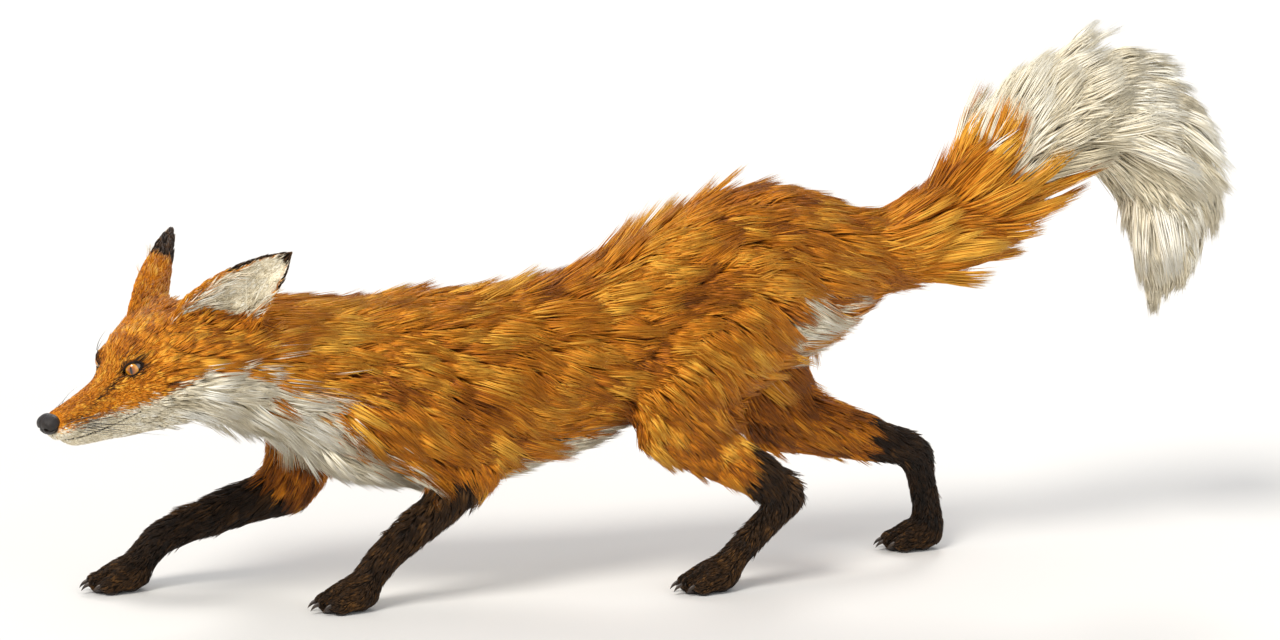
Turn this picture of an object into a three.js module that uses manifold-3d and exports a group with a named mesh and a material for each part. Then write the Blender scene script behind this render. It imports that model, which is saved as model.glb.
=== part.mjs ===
// Red fox (Vulpes vulpes), adult, life size, in a low stalking walk: head low and turned to its left,
// left feet drawn together under the body, right feet spread, brush raised with its tip curling down.
// Millimetres. The nose is towards -Y, the fox's left side towards +X, and +Z is up.
// The surfaces are those of the coat. The origin is on the floor, under the middle of the whole animal.
import * as THREE from "three";
import { mergeVertices } from "three/addons/utils/BufferGeometryUtils.js";
import Module from "manifold-3d";

const wasm = await Module();
wasm.setup();

// ---------------------------------------------------------------- driving dimensions
const GAP = 0.35; // clearance between neighbouring solids
const SINK = 1.6; // how far each pad would reach below the floor before it is cut flat

const TRUNK_HALF_WIDTH = 71; // widest part of the ribs, coat included
const SHOULDER_Y = -205; // point of the shoulder, along the body
const HIP_Y = 132; // hip joint, along the body
const LEFT_FOOT_X = 50; // how far to the side each foot stands
const HEAD_YAW = 30; // degrees that the head turns to the fox's left
const HEAD_PITCH = 15; // degrees that the nose dips
const HEAD_AT = new THREE.Vector3(52, -386, 206); // the middle point between the two eyes

const EYE_RADIUS = 8.4;
const EYE_AT = { forward: -0.4, side: 18.6, up: 0.4 }; // left eyeball's centre, from the middle point
const EAR_LENGTH = 112; // from its root inside the head
const EAR_HALF_WIDTH = 27;
const EAR_THICKNESS = 5;
const BRUSH_RADIUS = 62; // thickest part of the tail

const X_AXIS = new THREE.Vector3(1, 0, 0);
const vector = (x, y, z) => new THREE.Vector3(x, y, z);
const radians = THREE.MathUtils.degToRad;

// ---------------------------------------------------------------- solids
// A closed geometry as a solid for joining and cutting. A shape that is inside out is turned round.
function solidOf(geometry) {
  const bare = geometry.clone();
  for (const name of ["normal", "uv"]) bare.deleteAttribute(name);
  const merged = mergeVertices(bare, 1e-4);
  const triVerts = new Uint32Array(merged.index.array);
  const at = merged.getAttribute("position");
  const corner = (i) => new THREE.Vector3().fromBufferAttribute(at, triVerts[i]);
  let sixfoldVolume = 0;
  for (let i = 0; i < triVerts.length; i += 3) {
    sixfoldVolume += corner(i).dot(corner(i + 1).cross(corner(i + 2)));
  }
  for (let i = 0; sixfoldVolume < 0 && i < triVerts.length; i += 3) {
    [triVerts[i + 1], triVerts[i + 2]] = [triVerts[i + 2], triVerts[i + 1]];
  }
  return new wasm.Manifold(new wasm.Mesh({ numProp: 3, vertProperties: at.array, triVerts }));
}

function geometryOf(solid) {
  const { vertProperties, triVerts } = solid.getMesh();
  const geometry = new THREE.BufferGeometry();
  geometry.setAttribute("position", new THREE.BufferAttribute(vertProperties, 3));
  geometry.setIndex(new THREE.BufferAttribute(triVerts, 1));
  geometry.computeVertexNormals();
  return geometry;
}

const joined = (solids) => solids.reduce((whole, one) => whole.add(one));
const cutBy = (solid, cutters) => cutters.reduce((left, one) => left.subtract(one), solid);

// The largest body that a cut leaves.
function mainBody(solid) {
  return solid.decompose().reduce((a, b) => (a.volume() > b.volume() ? a : b));
}

// ---------------------------------------------------------------- lofted shapes
// One closed section: half wide to each side of the centre, reaching above and below it.
function ring({ centre, side, up, half, above, below, sides, squareness = 2 }) {
  const power = 2 / squareness;
  return Array.from({ length: sides }, (_, i) => {
    const angle = (2 * Math.PI * i) / sides;
    const [c, s] = [Math.cos(angle), Math.sin(angle)];
    const reach = s > 0 ? above : below;
    return centre
      .clone()
      .addScaledVector(side, half * Math.sign(c) * Math.abs(c) ** power)
      .addScaledVector(up, reach * Math.sign(s) * Math.abs(s) ** power);
  });
}

// A skin over rings of as many points each, closed by a fan at both ends.
function loft(rings) {
  const sides = rings[0].length;
  const points = rings.flat();
  const faces = [];
  for (let r = 0; r + 1 < rings.length; r++) {
    for (let i = 0; i < sides; i++) {
      const [a, b] = [r * sides + i, r * sides + ((i + 1) % sides)];
      faces.push(a, b, b + sides, a, b + sides, a + sides);
    }
  }
  const last = points.length - sides;
  for (const [first, ends] of [[0, rings[0]], [last, rings[rings.length - 1]]]) {
    const middle = ends.reduce((sum, p) => sum.add(p), vector(0, 0, 0)).divideScalar(sides);
    points.push(middle);
    for (let i = 0; i < sides; i++) {
      const [a, b] = [first + i, first + ((i + 1) % sides)];
      faces.push(points.length - 1, ...(first === 0 ? [b, a] : [a, b]));
    }
  }
  return new THREE.BufferGeometry().setFromPoints(points).setIndex(faces);
}

// Values between named keys, on a smooth curve through them, with steps samples to each span.
function between(keys, steps) {
  const names = Object.keys(keys[0]);
  const spline = (a, b, c, d, t) =>
    b + 0.5 * t * (c - a + t * (2 * a - 5 * b + 4 * c - d + t * (3 * (b - c) + d - a)));
  const found = [];
  for (let k = 0; k + 1 < keys.length; k++) {
    const [before, after] = [Math.max(k - 1, 0), Math.min(k + 2, keys.length - 1)];
    const [a, b, c, d] = [before, k, k + 1, after].map((i) => keys[i]);
    for (let s = 0; s < steps; s++) {
      found.push(Object.fromEntries(names.map((n) => [n, spline(a[n], b[n], c[n], d[n], s / steps)])));
    }
  }
  found.push({ ...keys[keys.length - 1] });
  return found;
}

// A loft of upright sections along Y.
// Each key has y, top, bottom, its half width, and how far up it is widest.
function uprightLoft(keys, { steps, sides, squareness, grow = 0 }) {
  const spans = between(keys, steps);
  return loft(
    spans.map(({ y, top, bottom, half, widest }, i) => {
      const middle = bottom + widest * (top - bottom);
      const past = i === 0 ? -grow : i === spans.length - 1 ? grow : 0;
      return ring({
        centre: vector(0, y + past * Math.sign(keys[keys.length - 1].y - keys[0].y), middle),
        side: X_AXIS,
        up: vector(0, 0, 1),
        half: half + grow,
        above: top - middle + grow,
        below: middle - bottom + grow,
        sides,
        squareness,
      });
    }),
  );
}

// A tube along a curve. Each key has x, y and z of its centre, and its half width and half height.
function bentLoft(keys, { steps, sides, grow = 0 }) {
  const spans = between(keys, steps);
  const centres = spans.map(({ x, y, z }) => vector(x, y, z));
  return loft(
    spans.map(({ half, tall }, i) => {
      const [before, after] = [Math.max(i - 1, 0), Math.min(i + 1, spans.length - 1)];
      const along = centres[after].clone().sub(centres[before]).normalize();
      const up = X_AXIS.clone().cross(along).normalize();
      const side = along.clone().cross(up).normalize();
      const past = i === 0 ? -grow : i === spans.length - 1 ? grow : 0;
      return ring({
        centre: centres[i].clone().addScaledVector(along, past),
        side,
        up,
        half: half + grow,
        above: tall + grow,
        below: tall + grow,
        sides,
      });
    }),
  );
}

// A stretch of limb with round ends.
// Each key has at, its share of the way, and its half sizes: deep, fore and aft, and wide.
function limb({ from, to, keys, sides }) {
  const along = to.clone().sub(from);
  const length = along.length();
  along.normalize();
  const deepAxis = along.clone().cross(X_AXIS).normalize();
  const wideAxis = deepAxis.clone().cross(along).normalize();
  const section = (at, deep, wide) =>
    ring({
      centre: from.clone().addScaledVector(along, at * length),
      side: wideAxis,
      up: deepAxis,
      half: wide,
      above: deep,
      below: deep,
      sides,
    });
  const roundEnd = ({ at, deep, wide }, way) =>
    [35, 70].map((angle) => {
      const [share, out] = [Math.cos(radians(angle)), Math.sin(radians(angle))];
      const reach = 0.7 * Math.min(deep, wide) * out;
      return section(at + (way * reach) / length, deep * share, wide * share);
    });
  return loft([
    ...roundEnd(keys[0], -1).reverse(),
    ...keys.map(({ at, deep, wide }) => section(at, deep, wide)),
    ...roundEnd(keys[keys.length - 1], 1),
  ]);
}

// An egg shape. Its dip is how far its front points down, in degrees.
function ellipsoid({ at, half, dip = 0, around, rows, grow = 0 }) {
  const geometry = new THREE.SphereGeometry(1, around, rows).rotateX(Math.PI / 2);
  geometry.scale(half.x + grow, half.y + grow, half.z + grow).rotateX(radians(dip));
  return geometry.translate(at.x, at.y, at.z);
}

// ---------------------------------------------------------------- trunk
// From the breast to the buttocks. The back rises from low shoulders to a round rump,
// and the belly tucks up in front of the thighs.
const TRUNK_KEYS = [
  { y: -264, top: 190, bottom: 142, half: 20, widest: 0.45 },
  { y: -250, top: 216, bottom: 115, half: 44, widest: 0.45 },
  { y: -220, top: 238, bottom: 95, half: TRUNK_HALF_WIDTH - 13, widest: 0.44 },
  { y: -178, top: 251, bottom: 84, half: TRUNK_HALF_WIDTH - 6, widest: 0.42 },
  { y: -130, top: 250, bottom: 82, half: TRUNK_HALF_WIDTH - 2, widest: 0.4 },
  { y: -70, top: 252, bottom: 90, half: TRUNK_HALF_WIDTH, widest: 0.42 },
  { y: -10, top: 270, bottom: 110, half: TRUNK_HALF_WIDTH - 5, widest: 0.46 },
  { y: 48, top: 299, bottom: 135, half: TRUNK_HALF_WIDTH - 12, widest: 0.5 },
  { y: 100, top: 323, bottom: 153, half: TRUNK_HALF_WIDTH - 13, widest: 0.52 },
  { y: 148, top: 329, bottom: 166, half: TRUNK_HALF_WIDTH - 13, widest: 0.52 },
  { y: 187, top: 318, bottom: 182, half: TRUNK_HALF_WIDTH - 18, widest: 0.5 },
  { y: 216, top: 297, bottom: 204, half: 41, widest: 0.5 },
  { y: 233, top: 270, bottom: 230, half: 20, widest: 0.5 },
];
const trunkSolid = (grow = 0) =>
  solidOf(uprightLoft(TRUNK_KEYS, { steps: 2, sides: 18, squareness: 2.15, grow }));

// ---------------------------------------------------------------- tail
// The brush leaves the rump level, rises, arches over and hangs its tip.
const TAIL_KEYS = [
  { x: 0, y: 184, z: 272, half: 30, tall: 28 },
  { x: 0, y: 220, z: 267, half: 35, tall: 35 },
  { x: -1, y: 260, z: 267, half: 43, tall: 43 },
  { x: -3, y: 300, z: 287, half: 50, tall: 50 },
  { x: -5, y: 333, z: 326, half: BRUSH_RADIUS - 5, tall: BRUSH_RADIUS - 6 },
  { x: -7, y: 370, z: 362, half: BRUSH_RADIUS - 1, tall: BRUSH_RADIUS - 2 },
  { x: -8, y: 416, z: 376, half: BRUSH_RADIUS, tall: BRUSH_RADIUS },
  { x: -8, y: 456, z: 354, half: BRUSH_RADIUS - 2, tall: BRUSH_RADIUS - 2 },
  { x: -7, y: 478, z: 308, half: BRUSH_RADIUS - 9, tall: BRUSH_RADIUS - 9 },
  { x: -6, y: 480.1, z: 260, half: 39, tall: 38 },
  { x: -5, y: 472, z: 222, half: 19, tall: 18 },
  { x: -5, y: 466, z: 198, half: 3, tall: 3 },
];
const tailWhole = solidOf(bentLoft(TAIL_KEYS, { steps: 2, sides: 12 }));
// The lengths that the brush is divided into, each between two keys of its curve.
const TAIL_CUTS = [4, 7];

// A thin slab across the tail at one of its keys.
function tailSlab(key) {
  const { x, y, z, tall } = TAIL_KEYS[key];
  const [before, after] = [TAIL_KEYS[key - 1], TAIL_KEYS[key + 1]];
  const along = vector(after.x - before.x, after.y - before.y, after.z - before.z).normalize();
  const slab = new THREE.BoxGeometry(2.4 * tall, GAP, 2.4 * tall);
  slab.applyQuaternion(new THREE.Quaternion().setFromUnitVectors(vector(0, 1, 0), along));
  return solidOf(slab.translate(x, y, z));
}

// ---------------------------------------------------------------- head
// In its own frame: the middle point between the eyes at the origin, nose towards -Y, left towards +X.
const SKULL_KEYS = [
  { y: -76, top: -14, bottom: -29, half: 9, widest: 0.5 },
  { y: -70, top: -11.5, bottom: -34, half: 12.6, widest: 0.5 },
  { y: -56, top: -9, bottom: -37, half: 14.6, widest: 0.48 },
  { y: -41, top: -6.8, bottom: -38.5, half: 15.8, widest: 0.46 },
  { y: -26, top: -3.6, bottom: -40, half: 18.4, widest: 0.42 },
  { y: -13, top: 3, bottom: -42, half: 24, widest: 0.4 },
  { y: -1, top: 14, bottom: -46, half: 32.5, widest: 0.4 },
  { y: 12, top: 22.5, bottom: -51, half: 43.5, widest: 0.36 },
  { y: 27, top: 28, bottom: -56, half: 55.5, widest: 0.32 },
  { y: 44, top: 31, bottom: -60, half: 65, widest: 0.3 },
  { y: 61, top: 30.5, bottom: -60, half: 70, widest: 0.3 },
  { y: 76, top: 25, bottom: -53, half: 67, widest: 0.32 },
  { y: 90, top: 13, bottom: -40, half: 50, widest: 0.36 },
];
const JAW_KEYS = [
  { y: -66, top: -30, bottom: -37.5, half: 6, widest: 0.5 },
  { y: -61, top: -28, bottom: -42.5, half: 9, widest: 0.5 },
  { y: -46, top: -28, bottom: -46.5, half: 11, widest: 0.5 },
  { y: -25, top: -29, bottom: -51, half: 14, widest: 0.5 },
  { y: -4, top: -29, bottom: -57, half: 21, widest: 0.5 },
  { y: 16, top: -29, bottom: -62, half: 31, widest: 0.45 },
  { y: 38, top: -29, bottom: -65, half: 38, widest: 0.42 },
  { y: 56, top: -32, bottom: -60, half: 30, widest: 0.42 },
];
const NOSE = { at: vector(0, -75.5, -18.6), half: vector(10, 7.6, 7.8), dip: 14 };

const eyeSolid = (way, grow = 0) =>
  solidOf(
    new THREE.SphereGeometry(EYE_RADIUS + grow, 10, 7).translate(
      way * EYE_AT.side, -EYE_AT.forward, EYE_AT.up,
    ),
  );
const noseSolid = (grow = 0) => solidOf(ellipsoid({ ...NOSE, around: 12, rows: 7, grow }));

const headSolid = (grow = 0) =>
  solidOf(uprightLoft(SKULL_KEYS, { steps: 2, sides: 20, squareness: 2.05, grow }));
const jawSolid = (grow = 0) =>
  solidOf(uprightLoft(JAW_KEYS, { steps: 1, sides: 14, squareness: 2.3, grow }));

// ---------------------------------------------------------------- ears
// Each ear is a cupped leaf, laid back and turned outwards, standing in the head at its root.
const EAR_ROOT = vector(28, 41, 4);
const EAR_POINTS = vector(0.46, 0.76, 0.46).normalize(); // root to tip
const EAR_FACES = vector(0.7, -0.68, 0.12); // where its hollow looks, before it is squared to the ear
const EAR_ROWS = 8;
const EAR_COLUMNS = 6;

function earSolid(way) {
  const along = EAR_POINTS.clone();
  const faces = EAR_FACES.clone().addScaledVector(along, -EAR_FACES.dot(along)).normalize();
  const across = along.clone().cross(faces);
  const surface = (row, column, behind) => {
    const v = row / EAR_ROWS;
    const u = (2 * column) / EAR_COLUMNS - 1;
    const half = 1.16 * EAR_HALF_WIDTH * (1 - v * v) ** 0.86 * (1 - 0.45 * (1 - v) ** 5) + 1.2;
    const cup = (19 * (1 - v) ** 0.8 + 1.5) * (1 - u * u);
    const thick = (EAR_THICKNESS * (1 - 0.55 * v)) / 2;
    return EAR_ROOT.clone()
      .addScaledVector(along, EAR_LENGTH * v)
      .addScaledVector(across, half * u)
      .addScaledVector(faces, 8 * (1 - v) - cup + (behind ? -thick : thick));
  };
  const rows = Array.from({ length: EAR_ROWS + 1 }, (_, row) => {
    const front = Array.from({ length: EAR_COLUMNS + 1 }, (_, c) => surface(row, c, false));
    const back = Array.from({ length: EAR_COLUMNS + 1 }, (_, c) => surface(row, c, true)).reverse();
    return [...front, ...back];
  });
  const geometry = loft(rows);
  if (way < 0) geometry.scale(-1, 1, 1);
  return solidOf(geometry);
}

// ---------------------------------------------------------------- neck
const NECK_KEYS = [
  { x: 0, y: -196, z: 178, half: 66, tall: 66 },
  { x: 2, y: -232, z: 186, half: 65, tall: 64 },
  { x: 8, y: -266, z: 194, half: 62, tall: 61 },
  { x: 18, y: -297, z: 200, half: 59, tall: 57 },
  { x: 30, y: -324, z: 203, half: 53, tall: 50 },
];
const neckSolid = (grow = 0) => solidOf(bentLoft(NECK_KEYS, { steps: 1, sides: 16, grow }));

// ---------------------------------------------------------------- paws
// In its own frame: on the floor under the knuckles, toes towards -Y.
const TOE_SIDES = [-13.2, -4.9, 4.9, 13.2];
const TOE_REACH = [12, 20, 20, 12];
const CLAW_LENGTH = 12;

function pawSolid({ x, y, yaw, wide, bare = false, grow = 0 }) {
  const palm = ellipsoid({
    at: vector(0, -1, 13),
    half: vector(17.2, 20.5, 13 + SINK),
    around: 10,
    rows: 5,
    grow,
  });
  const shapes = [palm];
  TOE_SIDES.forEach((side, i) => {
    const half = vector(6.7, 15, 8.6 + SINK);
    shapes.push(ellipsoid({ at: vector(side, -TOE_REACH[i], 8.6), half, around: 6, rows: 5, grow }));
    if (bare) return;
    const claw = new THREE.ConeGeometry(2.3, CLAW_LENGTH, 4);
    claw.rotateX(radians(-101)).translate(side * 1.03, -TOE_REACH[i] - 15.5, 6.2);
    shapes.push(claw);
  });
  const solids = shapes.map((shape) =>
    solidOf(shape.scale(wide, 1, 1).rotateZ(radians(yaw)).translate(x, y, 0)),
  );
  return joined(solids);
}

// ---------------------------------------------------------------- legs
// A foreleg's shoulder, elbow and wrist, and a hind leg's hip, knee and hock, with the paw that it stands on.
const FORE_SHAPES = [
  [{ at: 0, deep: 45, wide: 25 }, { at: 0.5, deep: 44, wide: 25 }, { at: 1, deep: 26, wide: 19 }],
  [{ at: 0, deep: 26, wide: 18.5 }, { at: 0.4, deep: 19.5, wide: 16.5 }, { at: 1, deep: 14, wide: 14 }],
  [{ at: 0, deep: 14.5, wide: 15 }, { at: 1, deep: 13, wide: 16.2 }],
];
const HIND_SHAPES = [
  [{ at: 0, deep: 60, wide: 30 }, { at: 0.5, deep: 58, wide: 32 }, { at: 1, deep: 37, wide: 24 }],
  [{ at: 0, deep: 39, wide: 22 }, { at: 0.4, deep: 28.5, wide: 18 }, { at: 1, deep: 14.5, wide: 13 }],
  [{ at: 0, deep: 15.5, wide: 13.5 }, { at: 0.4, deep: 12.5, wide: 13 }, { at: 1, deep: 12.5, wide: 15.2 }],
];
const LEGS = {
  foreleg_left: {
    paw: "forepaw_left",
    shapes: FORE_SHAPES,
    joints: [
      vector(50, SHOULDER_Y + 8, 180), vector(56, -100, 117), vector(LEFT_FOOT_X, -180, 43),
      vector(LEFT_FOOT_X, -199, 19),
    ],
    foot: { x: LEFT_FOOT_X, y: -203, yaw: 6, wide: 1.04 },
  },
  foreleg_right: {
    paw: "forepaw_right",
    shapes: FORE_SHAPES,
    joints: [
      vector(-50, SHOULDER_Y - 14, 182), vector(-56, -238, 82), vector(-52, -347, 43),
      vector(-50, -370, 19),
    ],
    foot: { x: -50, y: -374, yaw: 4, wide: 1.04 },
  },
  hindleg_left: {
    paw: "hindpaw_left",
    shapes: HIND_SHAPES,
    joints: [
      vector(42, HIP_Y, 246), vector(52, HIP_Y - 92, 150), vector(LEFT_FOOT_X, HIP_Y + 18, 76),
      vector(LEFT_FOOT_X, HIP_Y - 36, 19),
    ],
    foot: { x: LEFT_FOOT_X, y: HIP_Y - 42, yaw: 7, wide: 0.97 },
  },
  hindleg_right: {
    paw: "hindpaw_right",
    shapes: HIND_SHAPES,
    joints: [
      vector(-42, HIP_Y + 4, 244), vector(-52, HIP_Y + 20, 128), vector(-50, HIP_Y + 150, 84),
      vector(-48, HIP_Y + 163, 19),
    ],
    foot: { x: -48, y: HIP_Y + 157, yaw: -4, wide: 0.97 },
  },
};

function legSolid({ joints, shapes }) {
  const stretches = shapes.map((keys, i) =>
    limb({ from: joints[i], to: joints[i + 1], keys, sides: i === 0 ? 10 : 8 }),
  );
  return joined(stretches.map(solidOf));
}

// ---------------------------------------------------------------- materials
const finish = (color, roughness) => new THREE.MeshStandardMaterial({ color, roughness, metalness: 0 });
const RUSSET_FUR = finish(0xb5701d, 0.85);
const PALE_FUR = finish(0xd6cbb5, 0.85);
const DARK_FUR = finish(0x382716, 0.8);
const NOSE_LEATHER = finish(0x241811, 0.4);
const EYE_GLASS = finish(0xa9752a, 0.08);

// ---------------------------------------------------------------- assembly
const fox = new THREE.Group();
const head = new THREE.Group();
head.position.copy(HEAD_AT);
head.rotation.set(radians(HEAD_PITCH), 0, radians(HEAD_YAW), "ZXY");
head.updateMatrixWorld(true);
fox.add(head);

function addNode(parent, name, solid, material) {
  const mesh = new THREE.Mesh(geometryOf(solid), material);
  mesh.name = name;
  parent.add(mesh);
}

const trunkRoom = trunkSolid(GAP);
addNode(fox, "trunk", trunkSolid(), RUSSET_FUR);

const inHeadFrame = (solid) => solidOf(geometryOf(solid).applyMatrix4(head.matrixWorld.clone().invert()));
const neckRoom = neckSolid(GAP);
const headRoom = headSolid(GAP);
const jawRoom = jawSolid(GAP);
const eyeRooms = [1, -1].map((way) => eyeSolid(way, GAP));
addNode(head, "head", mainBody(cutBy(headSolid(), [...eyeRooms, noseSolid(GAP)])), RUSSET_FUR);
addNode(head, "lower_jaw", mainBody(cutBy(jawSolid(), [headRoom])), PALE_FUR);
addNode(head, "nose", noseSolid(), NOSE_LEATHER);
for (const [side, way] of [["left", 1], ["right", -1]]) {
  addNode(head, `eye_${side}`, eyeSolid(way), EYE_GLASS);
  const ear = cutBy(earSolid(way), [headRoom, inHeadFrame(neckRoom)]);
  addNode(head, `ear_${side}`, mainBody(ear), DARK_FUR);
}

const inPlace = (solid) => solidOf(geometryOf(solid).applyMatrix4(head.matrixWorld));
const neck = cutBy(neckSolid(), [trunkRoom, inPlace(headRoom), inPlace(jawRoom)]);
addNode(fox, "neck", mainBody(neck), RUSSET_FUR);

const tailBlocks = TAIL_CUTS.map(tailSlab);
const tailLengths = cutBy(tailWhole, [trunkRoom, ...tailBlocks])
  .decompose()
  .sort((a, b) => b.volume() - a.volume())
  .slice(0, TAIL_CUTS.length + 1)
  .sort((a, b) => a.boundingBox().min[1] - b.boundingBox().min[1]);
["tail_root", "tail_middle", "tail_tip"].forEach((name, i) =>
  addNode(fox, name, tailLengths[i], i === 0 ? RUSSET_FUR : PALE_FUR),
);

const FLOOR_BLOCK = solidOf(new THREE.BoxGeometry(400, 1400, 60).translate(0, 0, -30));
for (const [name, leg] of Object.entries(LEGS)) {
  const paw = mainBody(pawSolid(leg.foot).subtract(FLOOR_BLOCK));
  const pawRoom = pawSolid({ ...leg.foot, bare: true, grow: GAP });
  addNode(fox, name, mainBody(cutBy(legSolid(leg), [trunkRoom, neckRoom, pawRoom])), DARK_FUR);
  addNode(fox, leg.paw, paw, DARK_FUR);
}

// The origin goes under the middle of the whole animal.
const box = new THREE.Box3().setFromObject(fox, true);
const middle = box.getCenter(vector(0, 0, 0));
for (const child of fox.children) child.position.sub(vector(middle.x, middle.y, 0));

export default fox;
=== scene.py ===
import math

import bmesh
import bpy
import numpy as np
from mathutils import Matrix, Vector, kdtree
from mathutils.bvhtree import BVHTree


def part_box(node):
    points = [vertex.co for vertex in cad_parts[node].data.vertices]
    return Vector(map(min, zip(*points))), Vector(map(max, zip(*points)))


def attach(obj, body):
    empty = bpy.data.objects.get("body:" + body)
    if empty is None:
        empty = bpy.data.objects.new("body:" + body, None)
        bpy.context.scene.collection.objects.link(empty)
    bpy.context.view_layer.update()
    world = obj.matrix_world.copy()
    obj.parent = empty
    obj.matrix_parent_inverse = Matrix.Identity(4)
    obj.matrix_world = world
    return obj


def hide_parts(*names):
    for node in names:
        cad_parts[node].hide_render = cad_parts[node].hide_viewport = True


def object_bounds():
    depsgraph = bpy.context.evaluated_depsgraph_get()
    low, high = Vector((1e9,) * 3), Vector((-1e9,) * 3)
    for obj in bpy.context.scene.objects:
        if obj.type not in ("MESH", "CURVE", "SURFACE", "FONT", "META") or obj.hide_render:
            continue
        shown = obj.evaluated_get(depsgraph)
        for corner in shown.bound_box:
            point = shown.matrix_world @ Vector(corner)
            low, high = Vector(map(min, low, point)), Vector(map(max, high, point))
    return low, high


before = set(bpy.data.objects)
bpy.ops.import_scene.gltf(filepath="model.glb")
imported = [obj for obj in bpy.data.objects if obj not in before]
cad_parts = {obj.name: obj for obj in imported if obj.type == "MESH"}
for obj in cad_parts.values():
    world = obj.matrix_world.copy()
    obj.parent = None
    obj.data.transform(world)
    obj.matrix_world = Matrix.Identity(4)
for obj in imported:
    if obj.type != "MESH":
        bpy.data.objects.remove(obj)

cad_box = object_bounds()
MM = 0.001

# ---------------------------------------------------------------- the skin
# One unbroken hide over the whole fox. It lies inside the outline by the depth of the coat, closely on the
# muzzle and feet and deep inside the brush. It is cast as one body from all the lengths of flesh.
FLESH = ["trunk", "neck", "head", "lower_jaw", "ear_left", "ear_right",
         "tail_root", "tail_middle", "tail_tip",
         "foreleg_left", "foreleg_right", "hindleg_left", "hindleg_right",
         "forepaw_left", "forepaw_right", "hindpaw_left", "hindpaw_right"]
PAWS = {  # how far each foot points inwards or out, in degrees, and how broad it is
    "forepaw_left": (6, 1.04), "forepaw_right": (4, 1.04),
    "hindpaw_left": (7, 0.97), "hindpaw_right": (-4, 0.97)}
GRAIN = 1.9 * MM  # the cast's resolution
JOIN, EAR_JOIN = 0.7 * MM, 1.3 * MM  # neighbouring lengths swell by this, so that they run together
SOCKET_RADIUS = 8.6 * MM  # the flesh that fills the eye sockets
FLOOR_GAP = 0.2 * MM  # the hide ends this far above the floor, and the pads reach down to it


def middle(name):
    low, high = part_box(name)
    return np.array((low + high) / 2)


# The head's own directions: +X to its left, +Y from nose to nape, +Z up, from the middle between the eyes.
NOSE_DROP = math.radians(14.05)  # how far the nose lies below the line of sight
eyes = {side: middle(f"eye_{side}") for side in ("left", "right")}
head_left = (eyes["left"] - eyes["right"]) / np.linalg.norm(eyes["left"] - eyes["right"])
head_middle = (eyes["left"] + eyes["right"]) / 2
to_nose = middle("nose") - head_middle
to_nose -= head_left * (to_nose @ head_left)
to_nose /= np.linalg.norm(to_nose)
nose_up = np.cross(to_nose, head_left)
nose_up *= np.sign(nose_up[2])
head_back = -(to_nose * math.cos(NOSE_DROP) + nose_up * math.sin(NOSE_DROP))
head_up = np.cross(head_left, head_back)
HEAD = np.stack([head_left, head_back, head_up], axis=1)


def in_head(points):
    """Places on the fox in the head's own directions, in millimetres."""
    return (points - head_middle) @ HEAD / MM


def from_head(points):
    return head_middle + (np.asarray(points, float) * MM) @ HEAD.T


def merged_copy(name):
    """A copy of a length of flesh with its triangles joined."""
    shape = bmesh.new()
    shape.from_mesh(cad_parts[name].data)
    bmesh.ops.remove_doubles(shape, verts=shape.verts, dist=1e-6)
    bmesh.ops.recalc_face_normals(shape, faces=shape.faces)
    return shape


def arrays_of(shape):
    """A shape's points, faces and normals. The shape itself is let go."""
    shape.verts.ensure_lookup_table()
    points = np.array([v.co for v in shape.verts])
    faces = [[v.index for v in f.verts] for f in shape.faces]
    normals = np.array([v.normal for v in shape.verts])
    shape.free()
    return points, faces, normals


def blob(at, half, around, rows):
    """A rounded body about a place, half as long each way as given."""
    shape = bmesh.new()
    bmesh.ops.create_uvsphere(shape, u_segments=around, v_segments=rows, radius=1)
    points, faces, _ = arrays_of(shape)
    return points * half + at, faces


# A foot without its claws: the palm, and for each toe a long knuckle and a round tip.
TOES = list(zip((-13.0, -4.8, 4.8, 13.0), (12, 20, 20, 12)))  # how far each stands aside and reaches ahead
FOOT = [((0, -1, 13.5), (15.8, 19.5, 13.2)), ((0, -3, 7), (13, 12, 7.6))]  # each body's middle and half size
for side, reach in TOES:
    FOOT += [((side * 0.93, -reach + 6, 11.0), (4.7, 13, 8.4)),
             ((side, -reach - 5.5, 8.6), (5.2, 8.6, 7.4)),
             ((side, -reach - 5.0, 4.5), (4.7, 7.0, 5.0))]
HEEL_REACH = 19.5  # from a foot's middle to its back
FOOT_SWING = 7.5  # how far behind its middle a foot turns


def foot_frame(name):
    """A foot's middle on the floor, and its directions: aside, back from the toes, and up."""
    way, wide = PAWS[name]
    low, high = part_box(name)
    turn = math.radians(way)
    back = np.array([-math.sin(turn), math.cos(turn), 0])
    aside = np.array([math.cos(turn), math.sin(turn), 0])
    middle_of = np.array([(low.x + high.x) / 2, high.y - HEEL_REACH * MM, 0])
    middle_of += back * FOOT_SWING * MM * math.sin(turn)
    return middle_of, np.stack([aside * wide, back, (0, 0, 1)])


def on_foot(name, points):
    """Points given in a foot's own directions, in millimetres, as places on the fox."""
    middle_of, ways = foot_frame(name)
    return middle_of + (np.asarray(points, float) * MM) @ ways


def in_foot(name, points):
    middle_of, ways = foot_frame(name)
    return (points - middle_of) @ np.linalg.inv(ways) / MM


def blobs_on_foot(name, bodies, around=28, rows=18):
    """Rounded bodies given in a foot's own directions, each as its points and faces on the fox."""
    for at, half in bodies:
        points, faces = blob(at, half, around, rows)
        yield on_foot(name, points), faces


def joined(bodies):
    """Several bodies as one: all their points, and their faces numbered to match."""
    all_points, all_faces, start = [], [], 0
    for points, faces in bodies:
        all_points.append(points)
        all_faces += [[i + start for i in face] for face in faces]
        start += len(points)
    return np.vstack(all_points), all_faces


def put_in_scene(name, data):
    piece = bpy.data.objects.new(name, data)
    bpy.context.scene.collection.objects.link(piece)
    return piece


def mesh_object(name, points, faces, edges=()):
    mesh = bpy.data.meshes.new(name)
    mesh.from_pydata(np.asarray(points, float).tolist(), edges, faces)
    mesh.update()
    return put_in_scene(name, mesh)


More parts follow.
